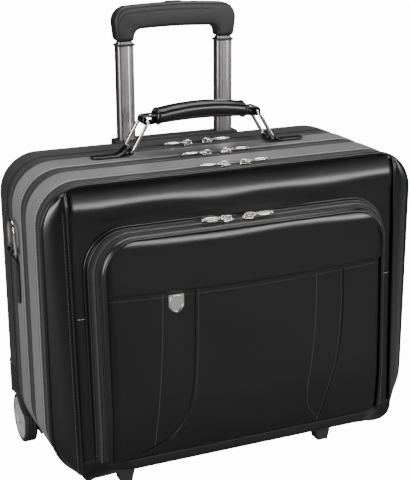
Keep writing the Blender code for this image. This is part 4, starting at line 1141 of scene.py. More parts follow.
REAR_STEPS = ((0.0, 0.0), (14.0, 0.1), (28.0, 0.6), (38.0, 1.8), (44.0, 3.8), (48.0, 7.2), (49.6, 11.0),
              (50.2, 16.0), (50.4, 30.0), (50.4, 44.0))


REAR_WALL = REAR_Y + 0.1 * MM
CHANNEL_HALF = TUBE_X + 26 * MM


def make_rear_section():
    rows = []
    for back, inset in REAR_STEPS:
        y = min(REAR_TAPE_BACK + 0.3 * MM + back * MM, REAR_Y)
        rows.append([Vector((x, y, z)) for x, z, nx, nz in rounded_box(inset * MM)])
    points = [point for row in rows for point in row]
    count = len(rows[0])
    faces = strip_faces(len(rows), count, close_columns=True)
    faces.append(tuple(range(len(points) - count, len(points))))
    shell = piece("rear_section_skin", points, faces, "nylon", "root", thickness=2.2 * MM)
    outward_from(shell, Vector((0, REAR_TAPE_BACK, (CASE_TOP + CASE_LOW) / 2)))
    bezel_low, bezel_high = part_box("tube_bezel")
    cutters = [box_cutter(bezel_low - Vector((0.3, 0.3, 8)) * MM, bezel_high + Vector((0.3, 0.3, 8)) * MM)]
    for side in ("left", "right"):
        low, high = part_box("wheel_housing_" + side)
        reach = Vector((6, 6, 12)) * MM
        grow = Vector((0.4, 0.4, 0.4)) * MM
        inner = Vector((low.x - (reach.x if side == "left" else grow.x), low.y - grow.y, low.z - reach.z))
        outer = Vector((high.x + (reach.x if side == "right" else grow.x), high.y + reach.y,
                        high.z + grow.z))
        cutters.append(box_cutter(inner, outer))
    cut(shell, cutters)
    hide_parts("rear_shell")
    make_tube_channel()
    make_rear_piping()
    make_rear_pads()
    make_base_skids()


def make_tube_channel():
    """The raised cover over the trolley's tubes, stitched round."""
    rows = []
    for row in range(41):
        z = 50 * MM + (CASE_TOP - 22 * MM - 50 * MM) * row / 40
        end = min(row, 40 - row) / 40
        line = []
        for column in range(33):
            u = 2 * column / 32 - 1
            edge = min(1.0, (1 - abs(u)) / 0.12) ** 0.5 * min(1.0, end / 0.04) ** 0.5
            line.append(Vector((u * CHANNEL_HALF, REAR_WALL - 0.6 * MM + 2.6 * MM * edge
                                + soft(u * 0.1, z, 5.0, 0.06, 0.4 * MM) * edge, z)))
        rows.append(line)
    skin("tube_channel_cover", rows, "nylon", "root", thickness=1.4 * MM, front=(0, 1, 0), sharp=60)
    border = [rows[0][k] for k in range(33)] + [row[-1] for row in rows] + rows[-1][::-1] \
        + [row[0] for row in rows[::-1]]
    middle = 0.5 * (CASE_TOP + 28 * MM)
    border = [Vector((point.x * 0.975, REAR_WALL + 2.1 * MM,
                      middle + (point.z - middle) * 0.975)) for point in border]
    stitches("channel_stitches", border, [Vector((0, 1, 0))] * len(border), "root", pitch=4 * MM,
             closed=True)


def make_rear_piping():
    ring = [Vector((x, REAR_WALL - 0.4 * MM, z)) for x, z, nx, nz in rounded_box(13.5 * MM)
            if z > 112 * MM or abs(x) < 160 * MM]
    low_part = sorted([point for point in ring if point.z < 100 * MM], key=lambda point: point.x)
    high_part = [point for point in ring if point.z > 112 * MM]
    tube_along("rear_piping_foot", low_part, 1.5 * MM, "piping", "root")
    start = max(range(len(high_part)), key=lambda k: (high_part[k] - high_part[k - 1]).length)
    tube_along("rear_piping_arch", high_part[start:] + high_part[:start], 1.5 * MM, "piping", "root")


def make_rear_pads():
    """Two stitched leather pads beside the channel."""
    for side, sign in (("left", -1), ("right", 1)):
        low_x, high_x = sorted((sign * (CHANNEL_HALF + 10 * MM), sign * 186 * MM))
        rows = []
        for row in range(31):
            z = 128 * MM + 150 * MM * row / 30
            line = []
            for column in range(25):
                u, v = 2 * column / 24 - 1, 2 * row / 30 - 1
                edge = min(1.0, (1 - abs(u)) / 0.2) ** 0.5 * min(1.0, (1 - abs(v)) / 0.1) ** 0.5
                line.append(Vector(((low_x + high_x) / 2 + u * (high_x - low_x) / 2,
                                    REAR_WALL - 0.6 * MM + 1.7 * MM * edge, z)))
            rows.append(line)
        skin("rear_pad_" + side, rows, "leather", "root", thickness=1.3 * MM, front=(0, 1, 0), sharp=60)
        inner = [rows[1][k] for k in range(1, 24)] + [row[23] for row in rows[1:-1]] + rows[-2][23:0:-1] \
            + [row[1] for row in rows[-2:0:-1]]
        stitches("rear_pad_stitches_" + side, [point + Vector((0, 1.2 * MM, 0)) for point in inner],
                 [Vector((0, 1, 0))] * len(inner), "root", pitch=4 * MM, closed=True)


def make_base_skids():
    low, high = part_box("base_board")
    for number in range(5):
        x = (number - 2) * 58 * MM
        points = [Vector((x, low.y + 24 * MM + (high.y - low.y - 34 * MM) * k / 12,
                          low.z - 0.2 * MM)) for k in range(13)]
        radii = [0.8 * MM + 1.7 * MM * math.sin(math.pi * (k + 0.5) / 13) ** 0.4 for k in range(13)]
        tube_along("base_skid_%d" % number, points, radii, "plastic", "root", sides=12)
    for side in ("left", "right"):
        low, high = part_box("foot_" + side)
        centre = Vector(((low.x + high.x) / 2, (low.y + high.y) / 2, high.z))
        solid_box("foot_plate_" + side, (low.x - 4 * MM, low.y - 1.5 * MM, high.z - 2.0 * MM),
                  (high.x + 4 * MM, high.y + 1.5 * MM, high.z + 0.1 * MM), "plastic", "root", 0.9 * MM)
        for shift in (-1, 1):
            spot = centre + Vector((shift * ((high.x - low.x) / 2 + 2 * MM), 0, -2.2 * MM))
            turned("foot_screw_%s_%d" % (side, shift + 1), ((0, 0.5), (1.6, 0.4), (1.6, -0.6), (0, -0.6)),
                   spot, (0, 0, -1), "nickel", "root", 16)


# --- Wheels -----------------------------------------------------------------------------------

def turned(name, profile, centre, axis, finish, body, steps=72, sharp=32):
    """A profile of (radius, height) in millimetres turned about an axis through centre."""
    axis = Vector(axis).normalized()
    first = axis.orthogonal().normalized()
    second = axis.cross(first)
    closed = profile[0][0] > 0 or profile[-1][0] > 0
    points, faces = [], []
    for step in range(steps):
        angle = 2 * math.pi * step / steps
        out = first * math.cos(angle) + second * math.sin(angle)
        points += [Vector(centre) + out * radius * MM + axis * height * MM for radius, height in profile]
    count = len(profile)
    for step in range(steps):
        after = (step + 1) % steps
        for k in range(count if closed else count - 1):
            beside = (k + 1) % count
            faces.append((step * count + k, step * count + beside, after * count + beside,
                          after * count + k))
    made = piece(name, points, faces, finish, body, sharp=sharp)
    if not closed:
        bm = bmesh.new()
        bm.from_mesh(made.data)
        bmesh.ops.remove_doubles(bm, verts=bm.verts, dist=1e-6)
        bm.to_mesh(made.data)
        bm.free()
    return made


# Turned profiles of (radius, height over the wheel's outer face) in millimetres
TYRE = ((25.4, 0.0), (27.8, 0.0), (29.2, -0.6), (30.0, -2.2), (30.0, -5.2), (29.3, -5.7), (29.3, -6.5),
        (30.0, -7.0), (30.0, -8.4), (29.3, -8.9), (29.3, -9.7), (30.0, -10.2), (30.0, -12.8),
        (29.2, -14.4), (27.8, -15.0), (25.4, -15.0))
RIM = ((3.2, -3.4), (7.6, -3.4), (8.2, -4.4), (19.4, -4.4), (20.4, -1.6), (21.2, -0.7), (25.1, -0.5),
       (25.1, -14.4), (3.2, -14.4))
HUB_CAP = ((0.0, 0.0), (5.4, -0.25), (6.6, -0.9), (7.0, -2.0), (7.0, -3.3), (0.0, -3.3))


def make_wheels():
    for side, sign in (("left", -1), ("right", 1)):
        low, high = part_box("tyre_" + side)
        centre = Vector((high.x if sign > 0 else low.x, (low.y + high.y) / 2, (low.z + high.z) / 2))
        axis = (sign, 0, 0)
        body = "wheel_" + side
        tyre = turned("wheel_tyre_" + side, TYRE, centre, axis, "rubber", body, 96)
        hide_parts("tyre_" + side)
        rim = turned("wheel_rim_" + side, RIM, centre, axis, "hub", body, 72)
        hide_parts("hub_" + side)
        turned("wheel_cap_" + side, HUB_CAP, centre + Vector((sign * -0.4 * MM, 0, 0)), axis, "hub", body,
               40)
        for number in range(6):
            angle = math.pi / 3 * number + 0.3
            way = Vector((0, math.cos(angle), math.sin(angle)))
            start = centre + way * 7.4 * MM - Vector((sign, 0, 0)) * 3.4 * MM
            tube_along("wheel_spoke_%s_%d" % (side, number),
                       [start + way * 13 * MM * k / 4 for k in range(5)],
                       [2.1 * MM, 1.8 * MM, 1.6 * MM, 1.8 * MM, 2.2 * MM], "hub", body, sides=12)
        low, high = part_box("wheel_housing_" + side)
        face = high.x if sign > 0 else low.x
        for number in range(4):
            z = 74 * MM + number * 7.5 * MM
            line = [Vector((face - sign * 0.2 * MM, low.y + 8 * MM + 34 * MM * k / 8, z)) for k in range(9)]
            tube_along("housing_rib_%s_%d" % (side, number), line, [0.5 * MM] + [1.2 * MM] * 7 + [0.5 * MM],
                       "plastic", "root", sides=10)
        for number, (y, z) in enumerate(((low.y + 7 * MM, high.z - 8 * MM),
                                         (high.y - 8 * MM, high.z - 8 * MM))):
            turned("housing_screw_%s_%d" % (side, number),
                   ((0, 0.9), (2.0, 0.8), (2.4, 0.2), (2.4, -0.5), (0, -0.5)),
                   (face, y, z), axis, "nickel", "root", 20)


# --- Trolley ----------------------------------------------------------------------------------

def tube_section(width, depth, radius, groove):
    """Rounded oblong with a shallow groove down its front and back faces, counter-clockwise."""
    points = []
    for x, y, start in ((1, -1, -90), (1, 1, 0), (-1, 1, 90), (-1, -1, 180)):
        for step in range(9):
            angle = math.radians(start + 90 * step / 8)
            points.append((x * (width / 2 - radius) + radius * math.cos(angle),
                           y * (depth / 2 - radius) + radius * math.sin(angle)))
        if y == 1 and x == 1 and groove:
            points += [(3.4 * MM, depth / 2), (2.4 * MM, depth / 2 - groove),
                       (-2.4 * MM, depth / 2 - groove), (-3.4 * MM, depth / 2)]
    if groove:
        points += [(-3.4 * MM, -depth / 2), (-2.4 * MM, groove - depth / 2), (2.4 * MM, groove - depth / 2),
                   (3.4 * MM, -depth / 2)]
    return points


def drawn_tube(name, low, high, groove, wall, body, radius):
    """An extruded tube that fills the box from low to high, open at both ends."""
    width, depth = high.x - low.x, high.y - low.y
    x, y = (low.x + high.x) / 2, (low.y + high.y) / 2
    outer = tube_section(width, depth, radius, groove)
    inner = [(u * (1 - 2 * wall / width), v * (1 - 2 * wall / depth)) for u, v in outer]
    count = len(outer)
    points = []
    for ring, z in ((outer, low.z), (outer, high.z), (inner, high.z), (inner, low.z)):
        points += [Vector((x + u, y + v, z)) for u, v in ring]
    faces = strip_faces(4, count, close_rows=True, close_columns=True)
    made = piece(name, points, faces, "tube", body, sharp=35)
    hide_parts(name.replace("drawn_", ""))
    return made


def grip_front(inset=0.0):
    """The trolley grip's outline seen from the front, drawn in from its edge by inset."""
    low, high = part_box("trolley_grip")
    flare = 3 * MM
    outer, inner = high.x - flare - inset, TUBE_X - 10.5 * MM + inset
    foot, top, under = low.z + inset, high.z - 2 * MM - inset, low.z + 13.5 * MM + inset
    corner, fillet = 18 * MM - inset, 9 * MM
    right = [(inner, foot), (outer, foot)]
    right += [(outer + flare * (k / 3) ** 0.7, foot + (top - corner - foot) * k / 3) for k in (1, 2)]
    for step in range(13):
        angle = math.radians(90 * step / 12)
        right.append((outer + flare - corner + corner * math.cos(angle),
                      top - corner + corner * math.sin(angle)))
    right += [((outer + flare - corner) * (1 - k / 8), top + 2 * MM * math.sin(math.pi / 2 * k / 8))
              for k in range(1, 9)]
    arch = [(inner - fillet + fillet * math.cos(math.radians(90 * k / 9)),
             under - fillet + fillet * math.sin(math.radians(90 * k / 9))) for k in range(10)]
    crown = [(x * (1 - k / 6), under + 1.0 * MM * math.sin(math.pi / 2 * k / 6)) for k in range(1, 6)
             for x in (inner - fillet,)]
    left = [(-x, z) for x, z in reversed(right[:-1])]
    under_left = [(-x, z) for x, z in arch + crown]
    under_right = list(reversed(arch + crown))
    return right + left + under_left + [(0, under + 1.0 * MM)] + under_right


def make_grip():
    low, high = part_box("trolley_grip")
    outline = grip_front()
    count = len(outline)
    points = [Vector((x, y, z)) for y in (high.y, low.y) for x, z in outline]
    faces = prism_faces(count)
    grip = piece("moulded_grip", points, faces, "plastic", "trolley_handle")
    step = grip.modifiers.new("edges", "BEVEL")
    step.width = 5.4 * MM
    step.segments = 6
    step.limit_method = "ANGLE"
    step.angle_limit = math.radians(50)
    button_low, button_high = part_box("push_button")
    cut(grip, [box_cutter(button_low - Vector((0.4, 0.4, 3.4)) * MM,
                          button_high + Vector((0.4, 0.4, 9)) * MM)])
    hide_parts("trolley_grip")
    for label, y in (("front", low.y), ("back", high.y)):
        way = -1 if label == "front" else 1
        line = [Vector((x, y + way * 0.1 * MM, z)) for x, z in grip_front(7.2 * MM)[18:-26]]
        line = [point for point in line if point.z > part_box("trolley_grip")[0].z + 20 * MM]
        tube_along("grip_line_" + label, line, 0.7 * MM, "rubber", "trolley_handle", sides=8)
    button = solid_box("release_button", button_low, button_high, "plastic", "push_button", 1.2 * MM)
    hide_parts("push_button")
    for number in range(5):
        x = (number - 2) * 3 * MM
        line = [Vector((x, TUBE_Y + (k - 3) * 1.0 * MM, button_high.z + 0.05 * MM)) for k in range(7)]
        tube_along("button_ridge_%d" % number, line, 0.45 * MM, "plastic", "push_button", sides=8)


def make_trolley():
    for side, sign in (("left", -1), ("right", 1)):
        low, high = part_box("middle_tube_" + side)
        tube = drawn_tube("drawn_middle_tube_" + side, low, high, 0.8 * MM, 1.1 * MM, "trolley_middle",
                          5 * MM)
        holes = [rod_cutter((sign * TUBE_X, TUBE_Y, high.z - 9 * MM - 9.5 * MM * k), 1.9 * MM,
                            30 * MM) for k in range(3)]
        cut(tube, holes)
        low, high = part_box("inner_tube_" + side)
        drawn_tube("drawn_inner_tube_" + side, low, high, 0.0, 1.1 * MM, "trolley_handle", 3.6 * MM)
        low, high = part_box("collar_" + side)
        section = tube_section(high.x - low.x, high.y - low.y, 6 * MM, 0)
        hole = tube_section(19.2 * MM, 13.2 * MM, 4 * MM, 0)
        points = []
        for ring, grow, z in ((section, 0.94, low.z), (section, 1.0, low.z + 0.6 * MM),
                              (section, 1.0, high.z - 0.6 * MM), (section, 0.94, high.z),
                              (hole, 1.0, high.z), (hole, 1.0, low.z)):
            points += [Vector((sign * TUBE_X + u * grow, TUBE_Y + v * grow, z)) for u, v in ring]
        collar = piece("tube_collar_" + side, points,
                       strip_faces(6, len(section), close_rows=True, close_columns=True),
                       "plastic", "trolley_middle")
        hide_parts("collar_" + side)
    make_grip()


# --- Carry handle and strap rings -------------------------------------------------------------

def ribbon(name, line, thickness, width, finish, body, y=BAND_MID, taper=None):
    """A leather strap of even thickness along a line of (x, z), its edges slightly rounded."""
    rows = []
    line = [Vector((x, 0, z)) for x, z in line]
    for index, point in enumerate(line):
        ahead = (line[min(index + 1, len(line) - 1)] - line[max(index - 1, 0)]).normalized()
        up = Vector((-ahead.z, 0, ahead.x))
        half = width / 2 * (taper[index] if taper else 1.0)
        edge = min(thickness * 0.45, half * 0.4)
        row = [(-half + edge, thickness / 2), (half - edge, thickness / 2), (half, thickness / 2 - edge),
               (half, edge - thickness / 2), (half - edge, -thickness / 2), (edge - half, -thickness / 2),
               (-half, edge - thickness / 2), (-half, thickness / 2 - edge)]
        rows.append([point + Vector((0, y + across, 0)) + up * rise for across, rise in row])
    points = [point for row in rows for point in row]
    faces = strip_faces(len(rows), 8, close_columns=True)
    faces += [tuple(range(8)), tuple(reversed(range(len(points) - 8, len(points))))]
    return piece(name, points, faces, finish, body, sharp=50)


def arc(x, z, radius, start, end, steps=14):
    return [(x + radius * math.cos(math.radians(start + (end - start) * k / steps)),
             z + radius * math.sin(math.radians(start + (end - start) * k / steps)))
            for k in range(steps + 1)]


LOOP_LEAN = math.radians(31)
LOOP_LENGTH = 38 * MM
LOOP_WIDTH = 27 * MM
BAR = 2.1 * MM
PIVOT_IN = 9 * MM
PIVOT_DOWN = 5 * MM


def bar_loop(width, length, corner, steps=6):
    """Rounded oblong in its own plane: (across, up), from its foot bar upward."""
    points = []
    for across, up, start in ((1, 0, -90), (1, 1, 0), (-1, 1, 90), (-1, 0, 180)):
        centre = (across * (width / 2 - corner), corner if up == 0 else length - corner)
        points += arc(*centre, corner, start, start + 90, steps)
    return points


def make_loops_and_chapes():
    for side, sign in (("left", -1), ("right", 1)):
        low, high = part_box("handle_chape_" + side)
        foot_x = abs(low.x if sign > 0 else high.x) + PIVOT_IN
        foot_z = high.z - PIVOT_DOWN
        lean = Vector((-sign * math.sin(LOOP_LEAN), 0, math.cos(LOOP_LEAN)))
        points = [Vector((sign * foot_x, BAND_MID + across, foot_z)) + lean * up
                  for across, up in bar_loop(LOOP_WIDTH, LOOP_LENGTH, 5 * MM)]
        loop = tube_along("bright_loop_" + side, points, BAR, "nickel", "handle_loop_" + side, closed=True,
                          sides=14)
        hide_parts("handle_loop_" + side)
        strap = 2.3 * MM
        wrap = BAR + 0.6 * MM + strap / 2
        base = CASE_TOP + 1.0 * MM + strap / 2
        end = foot_x + 9 * MM + 34 * MM
        upper = arc(foot_x, foot_z, wrap, 215, 40) + [(foot_x + 8 * MM, base + 2.6 * MM),
                                                      (foot_x + 12 * MM, base + 0.8 * MM)]
        upper += [(foot_x + 12 * MM + (end - foot_x - 12 * MM) * k / 12, base) for k in range(1, 13)]
        taper = [1.0] * (len(upper) - 4) + [0.97, 0.9, 0.78, 0.5]
        line = [(sign * x, z) for x, z in upper]
        chape = ribbon("handle_tab_" + side, line, strap, 16 * MM, "leather", "root", taper=taper)
        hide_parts("handle_chape_" + side)
        under = [(sign * (foot_x - 4.5 * MM), foot_z - 3.2 * MM), (sign * foot_x, foot_z - 4.2 * MM),
                 (sign * (foot_x + 9 * MM), base - 0.3 * MM)]
        ribbon("handle_tab_under_" + side, under, 1.6 * MM, 15 * MM, "leather", "root")
        for number, shift in enumerate((-6.2, 6.2)):
            row = [Vector((sign * (foot_x + (13 + 26 * k / 10) * MM), BAND_MID + shift * MM,
                           base + strap / 2 + 0.05 * MM)) for k in range(11)]
            stitches("handle_tab_stitches_%s_%d" % (side, number), row, [Vector((0, 0, 1))] * 11, "root",
                     pitch=2.8 * MM)


def make_strap_rings():
    for side, sign in (("left", -1), ("right", 1)):
        low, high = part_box("strap_ring_" + side)
        x = (low.x + high.x) / 2
        foot = low.z + 2.0 * MM
        half = 12 * MM
        rise = high.z - 2.0 * MM - foot - half
        line = [(-half, 0), (0, 0), (half, 0)]
        line += [(half * math.cos(math.radians(12 * k)), rise + half * math.sin(math.radians(12 * k)))
                 for k in range(16)]
        ring = tube_along("bright_ring_" + side,
                          [Vector((x, BAND_MID + across, foot + up)) for across, up in line],
                          2.0 * MM, "nickel", "strap_ring_" + side, closed=True, sides=14)
        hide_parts("strap_ring_" + side)
        strap = 2.0 * MM
        wrap = 2.0 * MM + 1.0 * MM + strap / 2
        base = CASE_HALF + 1.0 * MM + strap / 2
        top = [(abs(x) + wrap * math.cos(math.radians(a)), foot + wrap * math.sin(math.radians(a)))
               for a in range(170, -50, -12)]
        down = [(base + (top[-1][0] - base) * (1 - k / 4) ** 2, foot - 4 * MM - 3 * MM * k)
                for k in range(1, 5)]
        down += [(base, foot - 18 * MM - 42 * MM * k / 10) for k in range(11)]
        line = [(sign * u, z) for u, z in top + down]
        tab = ribbon("ring_tab_" + side, line, strap, 14 * MM, "leather", "root",
                     taper=[1.0] * (len(line) - 3) + [0.95, 0.85, 0.6])
        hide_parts("ring_chape_" + side)
        for number, shift in enumerate((-5.2, 5.2)):
            row = [Vector((sign * (base + strap / 2 + 0.05 * MM), BAND_MID + shift * MM,
                           foot - (20 + 36 * k / 10) * MM)) for k in range(11)]
            stitches("ring_tab_stitches_%s_%d" % (side, number), row, [Vector((sign, 0, 0))] * 11, "root",
                     pitch=2.8 * MM)


PAD_HALF = 56 * MM


def pad_line(x):
    """Height of the handle's centre line above its two pivots."""
    return 6.5 * MM * math.cos(math.pi / 2 * min(1.0, abs(x) / (66 * MM))) ** 0.8


def make_handle():
    top_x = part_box("handle_chape_right")[0].x + PIVOT_IN - LOOP_LENGTH * math.sin(LOOP_LEAN)
    top_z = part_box("handle_chape_right")[1].z - PIVOT_DOWN + LOOP_LENGTH * math.cos(LOOP_LEAN)
    stations, sides = 72, 36
    rows = []
    for row in range(stations + 1):
        u = 2 * row / stations - 1
        x = PAD_HALF * math.sin(math.pi / 2 * u)
        end = max(0.0, (abs(x) - (PAD_HALF - 5 * MM)) / (5 * MM))
        fat = math.sqrt(max(0.0, 1 - end ** 2)) * 0.45 + 0.55
        width, height = 26 * MM * fat, (19 - 2.5 * (x / PAD_HALF) ** 2) * MM * fat
        ring = []
        for k in range(sides):
            angle = 2 * math.pi * k / sides
            c, s = math.cos(angle), math.sin(angle)
            power = 0.78 if s > 0 else 0.6
            across = math.copysign(abs(c) ** 0.8, c) * width / 2
            up = math.copysign(abs(s) ** power, s) * height / 2
            ring.append(Vector((x, BAND_MID + across, top_z + pad_line(x) + up)))
        rows.append(ring)
    points = [point for row in rows for point in row]
    faces = strip_faces(len(rows), sides, close_columns=True)
    faces += [tuple(range(sides)), tuple(reversed(range(len(points) - sides, len(points))))]
    pad = piece("handle_pad", points, faces, "leather", "carry_grip", sharp=70, ride=False)
    pad = inflate(pad, 1.6 * MM)
    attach(pad, "carry_grip")
    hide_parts("handle_grip")
    for side, sign in (("left", -1), ("right", 1)):
        reach = BAR + 1.0 * MM + 1.2 * MM
        wrap = arc(top_x, top_z, reach, -100, 100, 16)
        line = [(PAD_HALF - 12 * MM, top_z + pad_line(PAD_HALF) - 3.4 * MM),
                (PAD_HALF - 2 * MM, top_z - 3.0 * MM)] + wrap \
            + [(PAD_HALF - 2 * MM, top_z + 4.2 * MM),
               (PAD_HALF - 12 * MM, top_z + pad_line(PAD_HALF) + 4.0 * MM)]
        ribbon("handle_tail_" + side, [(sign * x, z) for x, z in line], 2.2 * MM, 19 * MM, "leather",
               "carry_grip")
        cuff = [Vector((sign * (PAD_HALF - 4.5 * MM), BAND_MID + 13.0 * MM * math.cos(2 * math.pi * k / 28),
                        top_z + pad_line(PAD_HALF) + 0.5 * MM + 8.9 * MM * math.sin(2 * math.pi * k / 28)))
                for k in range(28)]
        tube_along("handle_cuff_" + side, cuff, 1.0 * MM, "piping", "carry_grip", closed=True, sides=8)
        turned("tail_stud_" + side, ((0, 0.9), (1.6, 0.8), (2.3, 0.1), (2.3, -0.6), (0, -0.6)),
               (sign * (top_x - 5.5 * MM), BAND_MID - 5.5 * MM, top_z + 5.8 * MM), (0, 0, 1), "nickel",
               "carry_grip", 20)
    for label, way in (("front", -1), ("back", 1)):
        line = []
        for k in range(41):
            x = (2 * k / 40 - 1) * (PAD_HALF - 6 * MM)
            line.append(Vector((x, BAND_MID + way * 11.9 * MM, top_z + pad_line(x) - 5.6 * MM)))
        stitches("handle_stitches_" + label, line, [Vector((0, way, -0.6))] * 41, "carry_grip", pitch=3 * MM)


def inflate(pad, cap):
    """Swells a closed form as stuffed leather does, by cloth under pressure; no point moves past cap."""
    scene = bpy.context.scene
    remesh = pad.modifiers.new("even_mesh", "REMESH")
    remesh.mode = "VOXEL"
    remesh.voxel_size = 2.2 * MM
    shape = bpy.data.meshes.new_from_object(pad.evaluated_get(bpy.context.evaluated_depsgraph_get()))
    pad.modifiers.clear()
    pad.data = shape
    start = np.array([vert.co for vert in shape.vertices])
    cloth = pad.modifiers.new("cloth", "CLOTH")
    settings = cloth.settings
    settings.quality = 6
    settings.mass = 0.2
    settings.tension_stiffness = 25
    settings.compression_stiffness = 25
    settings.bending_stiffness = 4
    settings.use_pressure = True
    settings.uniform_pressure_force = 4
    settings.effector_weights.gravity = 0
    cloth.collision_settings.use_collision = False
    for number in range(1, 21):
        scene.frame_set(number)
    swollen = bpy.data.meshes.new_from_object(pad.evaluated_get(bpy.context.evaluated_depsgraph_get()))
    pad.modifiers.clear()
    end = np.array([vert.co for vert in swollen.vertices])
    step = end - start
    length = np.maximum(np.linalg.norm(step, axis=1), 1e-9)
    end = start + step * np.minimum(1.0, cap / length)[:, None]
    swollen.vertices.foreach_set("co", end.astype(np.float32).ravel())
    pad.data = swollen
    swollen.shade_smooth()
    smooth = pad.modifiers.new("smooth", "SUBSURF")
    smooth.levels = 1
    smooth.render_levels = 1
    scene.frame_set(1)
    return pad


# --- Zip sliders ------------------------------------------------------------------------------

def place_all(points, spot, turn):
    return [spot + turn @ Vector(point) for point in points]


def make_slider(label, spot, turn, slider_body, pull_body, cad_slider, cad_pull):
    """A wedge-shaped slider with a bridge, and a long oval pull on an eye, along the turn's own X."""
    outline = [(-6.0, -2.4), (-4.6, -3.2), (-1.0, -3.4), (2.2, -4.2), (5.0, -4.2), (6.0, -3.0), (5.4, -1.2),
               (5.4, 1.2), (6.0, 3.0), (5.0, 4.2), (2.2, 4.2), (-1.0, 3.4), (-4.6, 3.2), (-6.0, 2.4)]
    points = [(x * MM, y * MM, z * MM) for z in (0.0, 2.2) for x, y in outline]
    count = len(outline)
    faces = prism_faces(count)
    plate = piece("slider_plate_" + label, place_all(points, spot, turn), faces, "nickel", slider_body)
    step = plate.modifiers.new("edges", "BEVEL")
    step.width = 0.5 * MM
    step.segments = 2
    step.limit_method = "ANGLE"
    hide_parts(cad_slider)
    bridge = [(4.0 * math.cos(math.pi * k / 12) * MM, 0,
               (1.8 + 4.0 * math.sin(math.pi * k / 12) ** 0.7) * MM) for k in range(13)]
    tube_along("slider_bridge_" + label, place_all(bridge, spot, turn), 0.95 * MM, "nickel", slider_body,
               sides=10)
    height = 3.6
    eye = [((4.1 + 3.9 * math.cos(2 * math.pi * k / 24)) * MM, 3.3 * math.sin(2 * math.pi * k / 24) * MM,
            height * MM) for k in range(24)]
    tube_along("pull_eye_" + label, place_all(eye, spot, turn), 0.85 * MM, "nickel", pull_body, closed=True,
               sides=10)
    tag = []
    for k in range(40):
        angle = 2 * math.pi * k / 40
        x = 18.2 + 11.8 * math.cos(angle)
        y = (3.1 + 1.5 * (x - 6) / 24) * math.sin(angle)
        tag.append((x, y))
    points = [(x * MM, y * MM, (height + z) * MM) for z in (-0.65, 0.65) for x, y in tag]
    faces = prism_faces(len(tag))
    plate = piece("pull_tag_" + label, place_all(points, spot, turn), faces, "nickel", pull_body)
    step = plate.modifiers.new("edges", "BEVEL")
    step.width = 0.35 * MM
    step.segments = 2
    step.limit_method = "ANGLE"
    if cad_pull:
        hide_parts(cad_pull)
    rim = [(x * 0.86 + 18.2 * 0.14, y * 0.72, height + 0.62) for x, y in tag]
    tube_along("pull_rim_" + label, place_all([(x * MM, y * MM, z * MM) for x, y, z in rim], spot, turn),
               0.42 * MM, "nickel", pull_body, closed=True, sides=8)


def make_sliders():
    for zip_name in ("lid", "section", "rear", "pocket"):
        for side, sign in (("left", -1), ("right", 1)):
            label = zip_name + "_" + side
            cad_slider = "slider_" + label
            low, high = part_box(cad_slider)
            x = (low.x + high.x) / 2
            if zip_name == "rear":
                x = high.x - 6 * MM if sign < 0 else low.x + 6 * MM
            flip = Matrix.Rotation(math.pi if sign < 0 else 0, 3, "Z")
            if zip_name == "pocket":
                depth = POCKET_WALL + (POCKET_DEPTH - POCKET_WALL) / 2
                z = POCKET_HIGH - FACE_DROP / 2 + 1.1 * MM
                tilt = Matrix.Rotation(math.atan2(FACE_DROP, POCKET_DEPTH - POCKET_WALL), 3, "X")
                spot = Vector((x, panel_y(z) - depth, z)) + tilt @ Vector((0, 0, 0.4 * MM))
            else:
                tilt = Matrix.Identity(3)
                spot = Vector((x, {"lid": LID_Y, "section": SECTION_Y, "rear": MAIN_Y}[zip_name],
                               TAPE_TOP + 0.3 * MM))
            pull = None if zip_name == "rear" else "pull_" + label
            make_slider(label, spot, tilt @ flip, cad_slider, pull or cad_slider, cad_slider, pull)


# --- Linings ----------------------------------------------------------------------------------

def flat_board(name, inset, y_back, y_front, finish, body, foot_extra=0.0, top_extra=0.0):
    stations = rounded_box(inset, low=CASE_LOW + foot_extra, high=CASE_TOP - top_extra)
    points = [Vector((x, y, z)) for y in (y_back, y_front) for x, z, nx, nz in stations]
    count = len(stations)
    faces = prism_faces(count)
    made = piece(name, points, faces, finish, body)
    step = made.modifiers.new("edges", "BEVEL")
    step.width = 0.6 * MM
    step.segments = 2
    step.limit_method = "ANGLE"
    step.angle_limit = math.radians(50)
    return made


def slip_pocket(name, half, low, high, y, puff, body, way=1):
    """A patch pocket of lining cloth with a bound top edge, lying flat at its sides and foot."""
    rows = []
    for row in range(17):
        v = row / 16
        line = []
        for column in range(41):
            u = 2 * column / 40 - 1
            swell = puff * (1 - u ** 4) * min(1.0, v * 4) ** 0.5
            line.append(Vector((u * half, y + way * (0.4 * MM + swell), low + (high - low) * v)))
        rows.append(line)
    skin(name, rows, "lining", body, thickness=0.9 * MM, front=(0, way, 0))
    tube_along(name + "_binding", [point + Vector((0, 0, 0.4 * MM)) for point in rows[-1]], 1.2 * MM,
               "piping", body, sides=8)


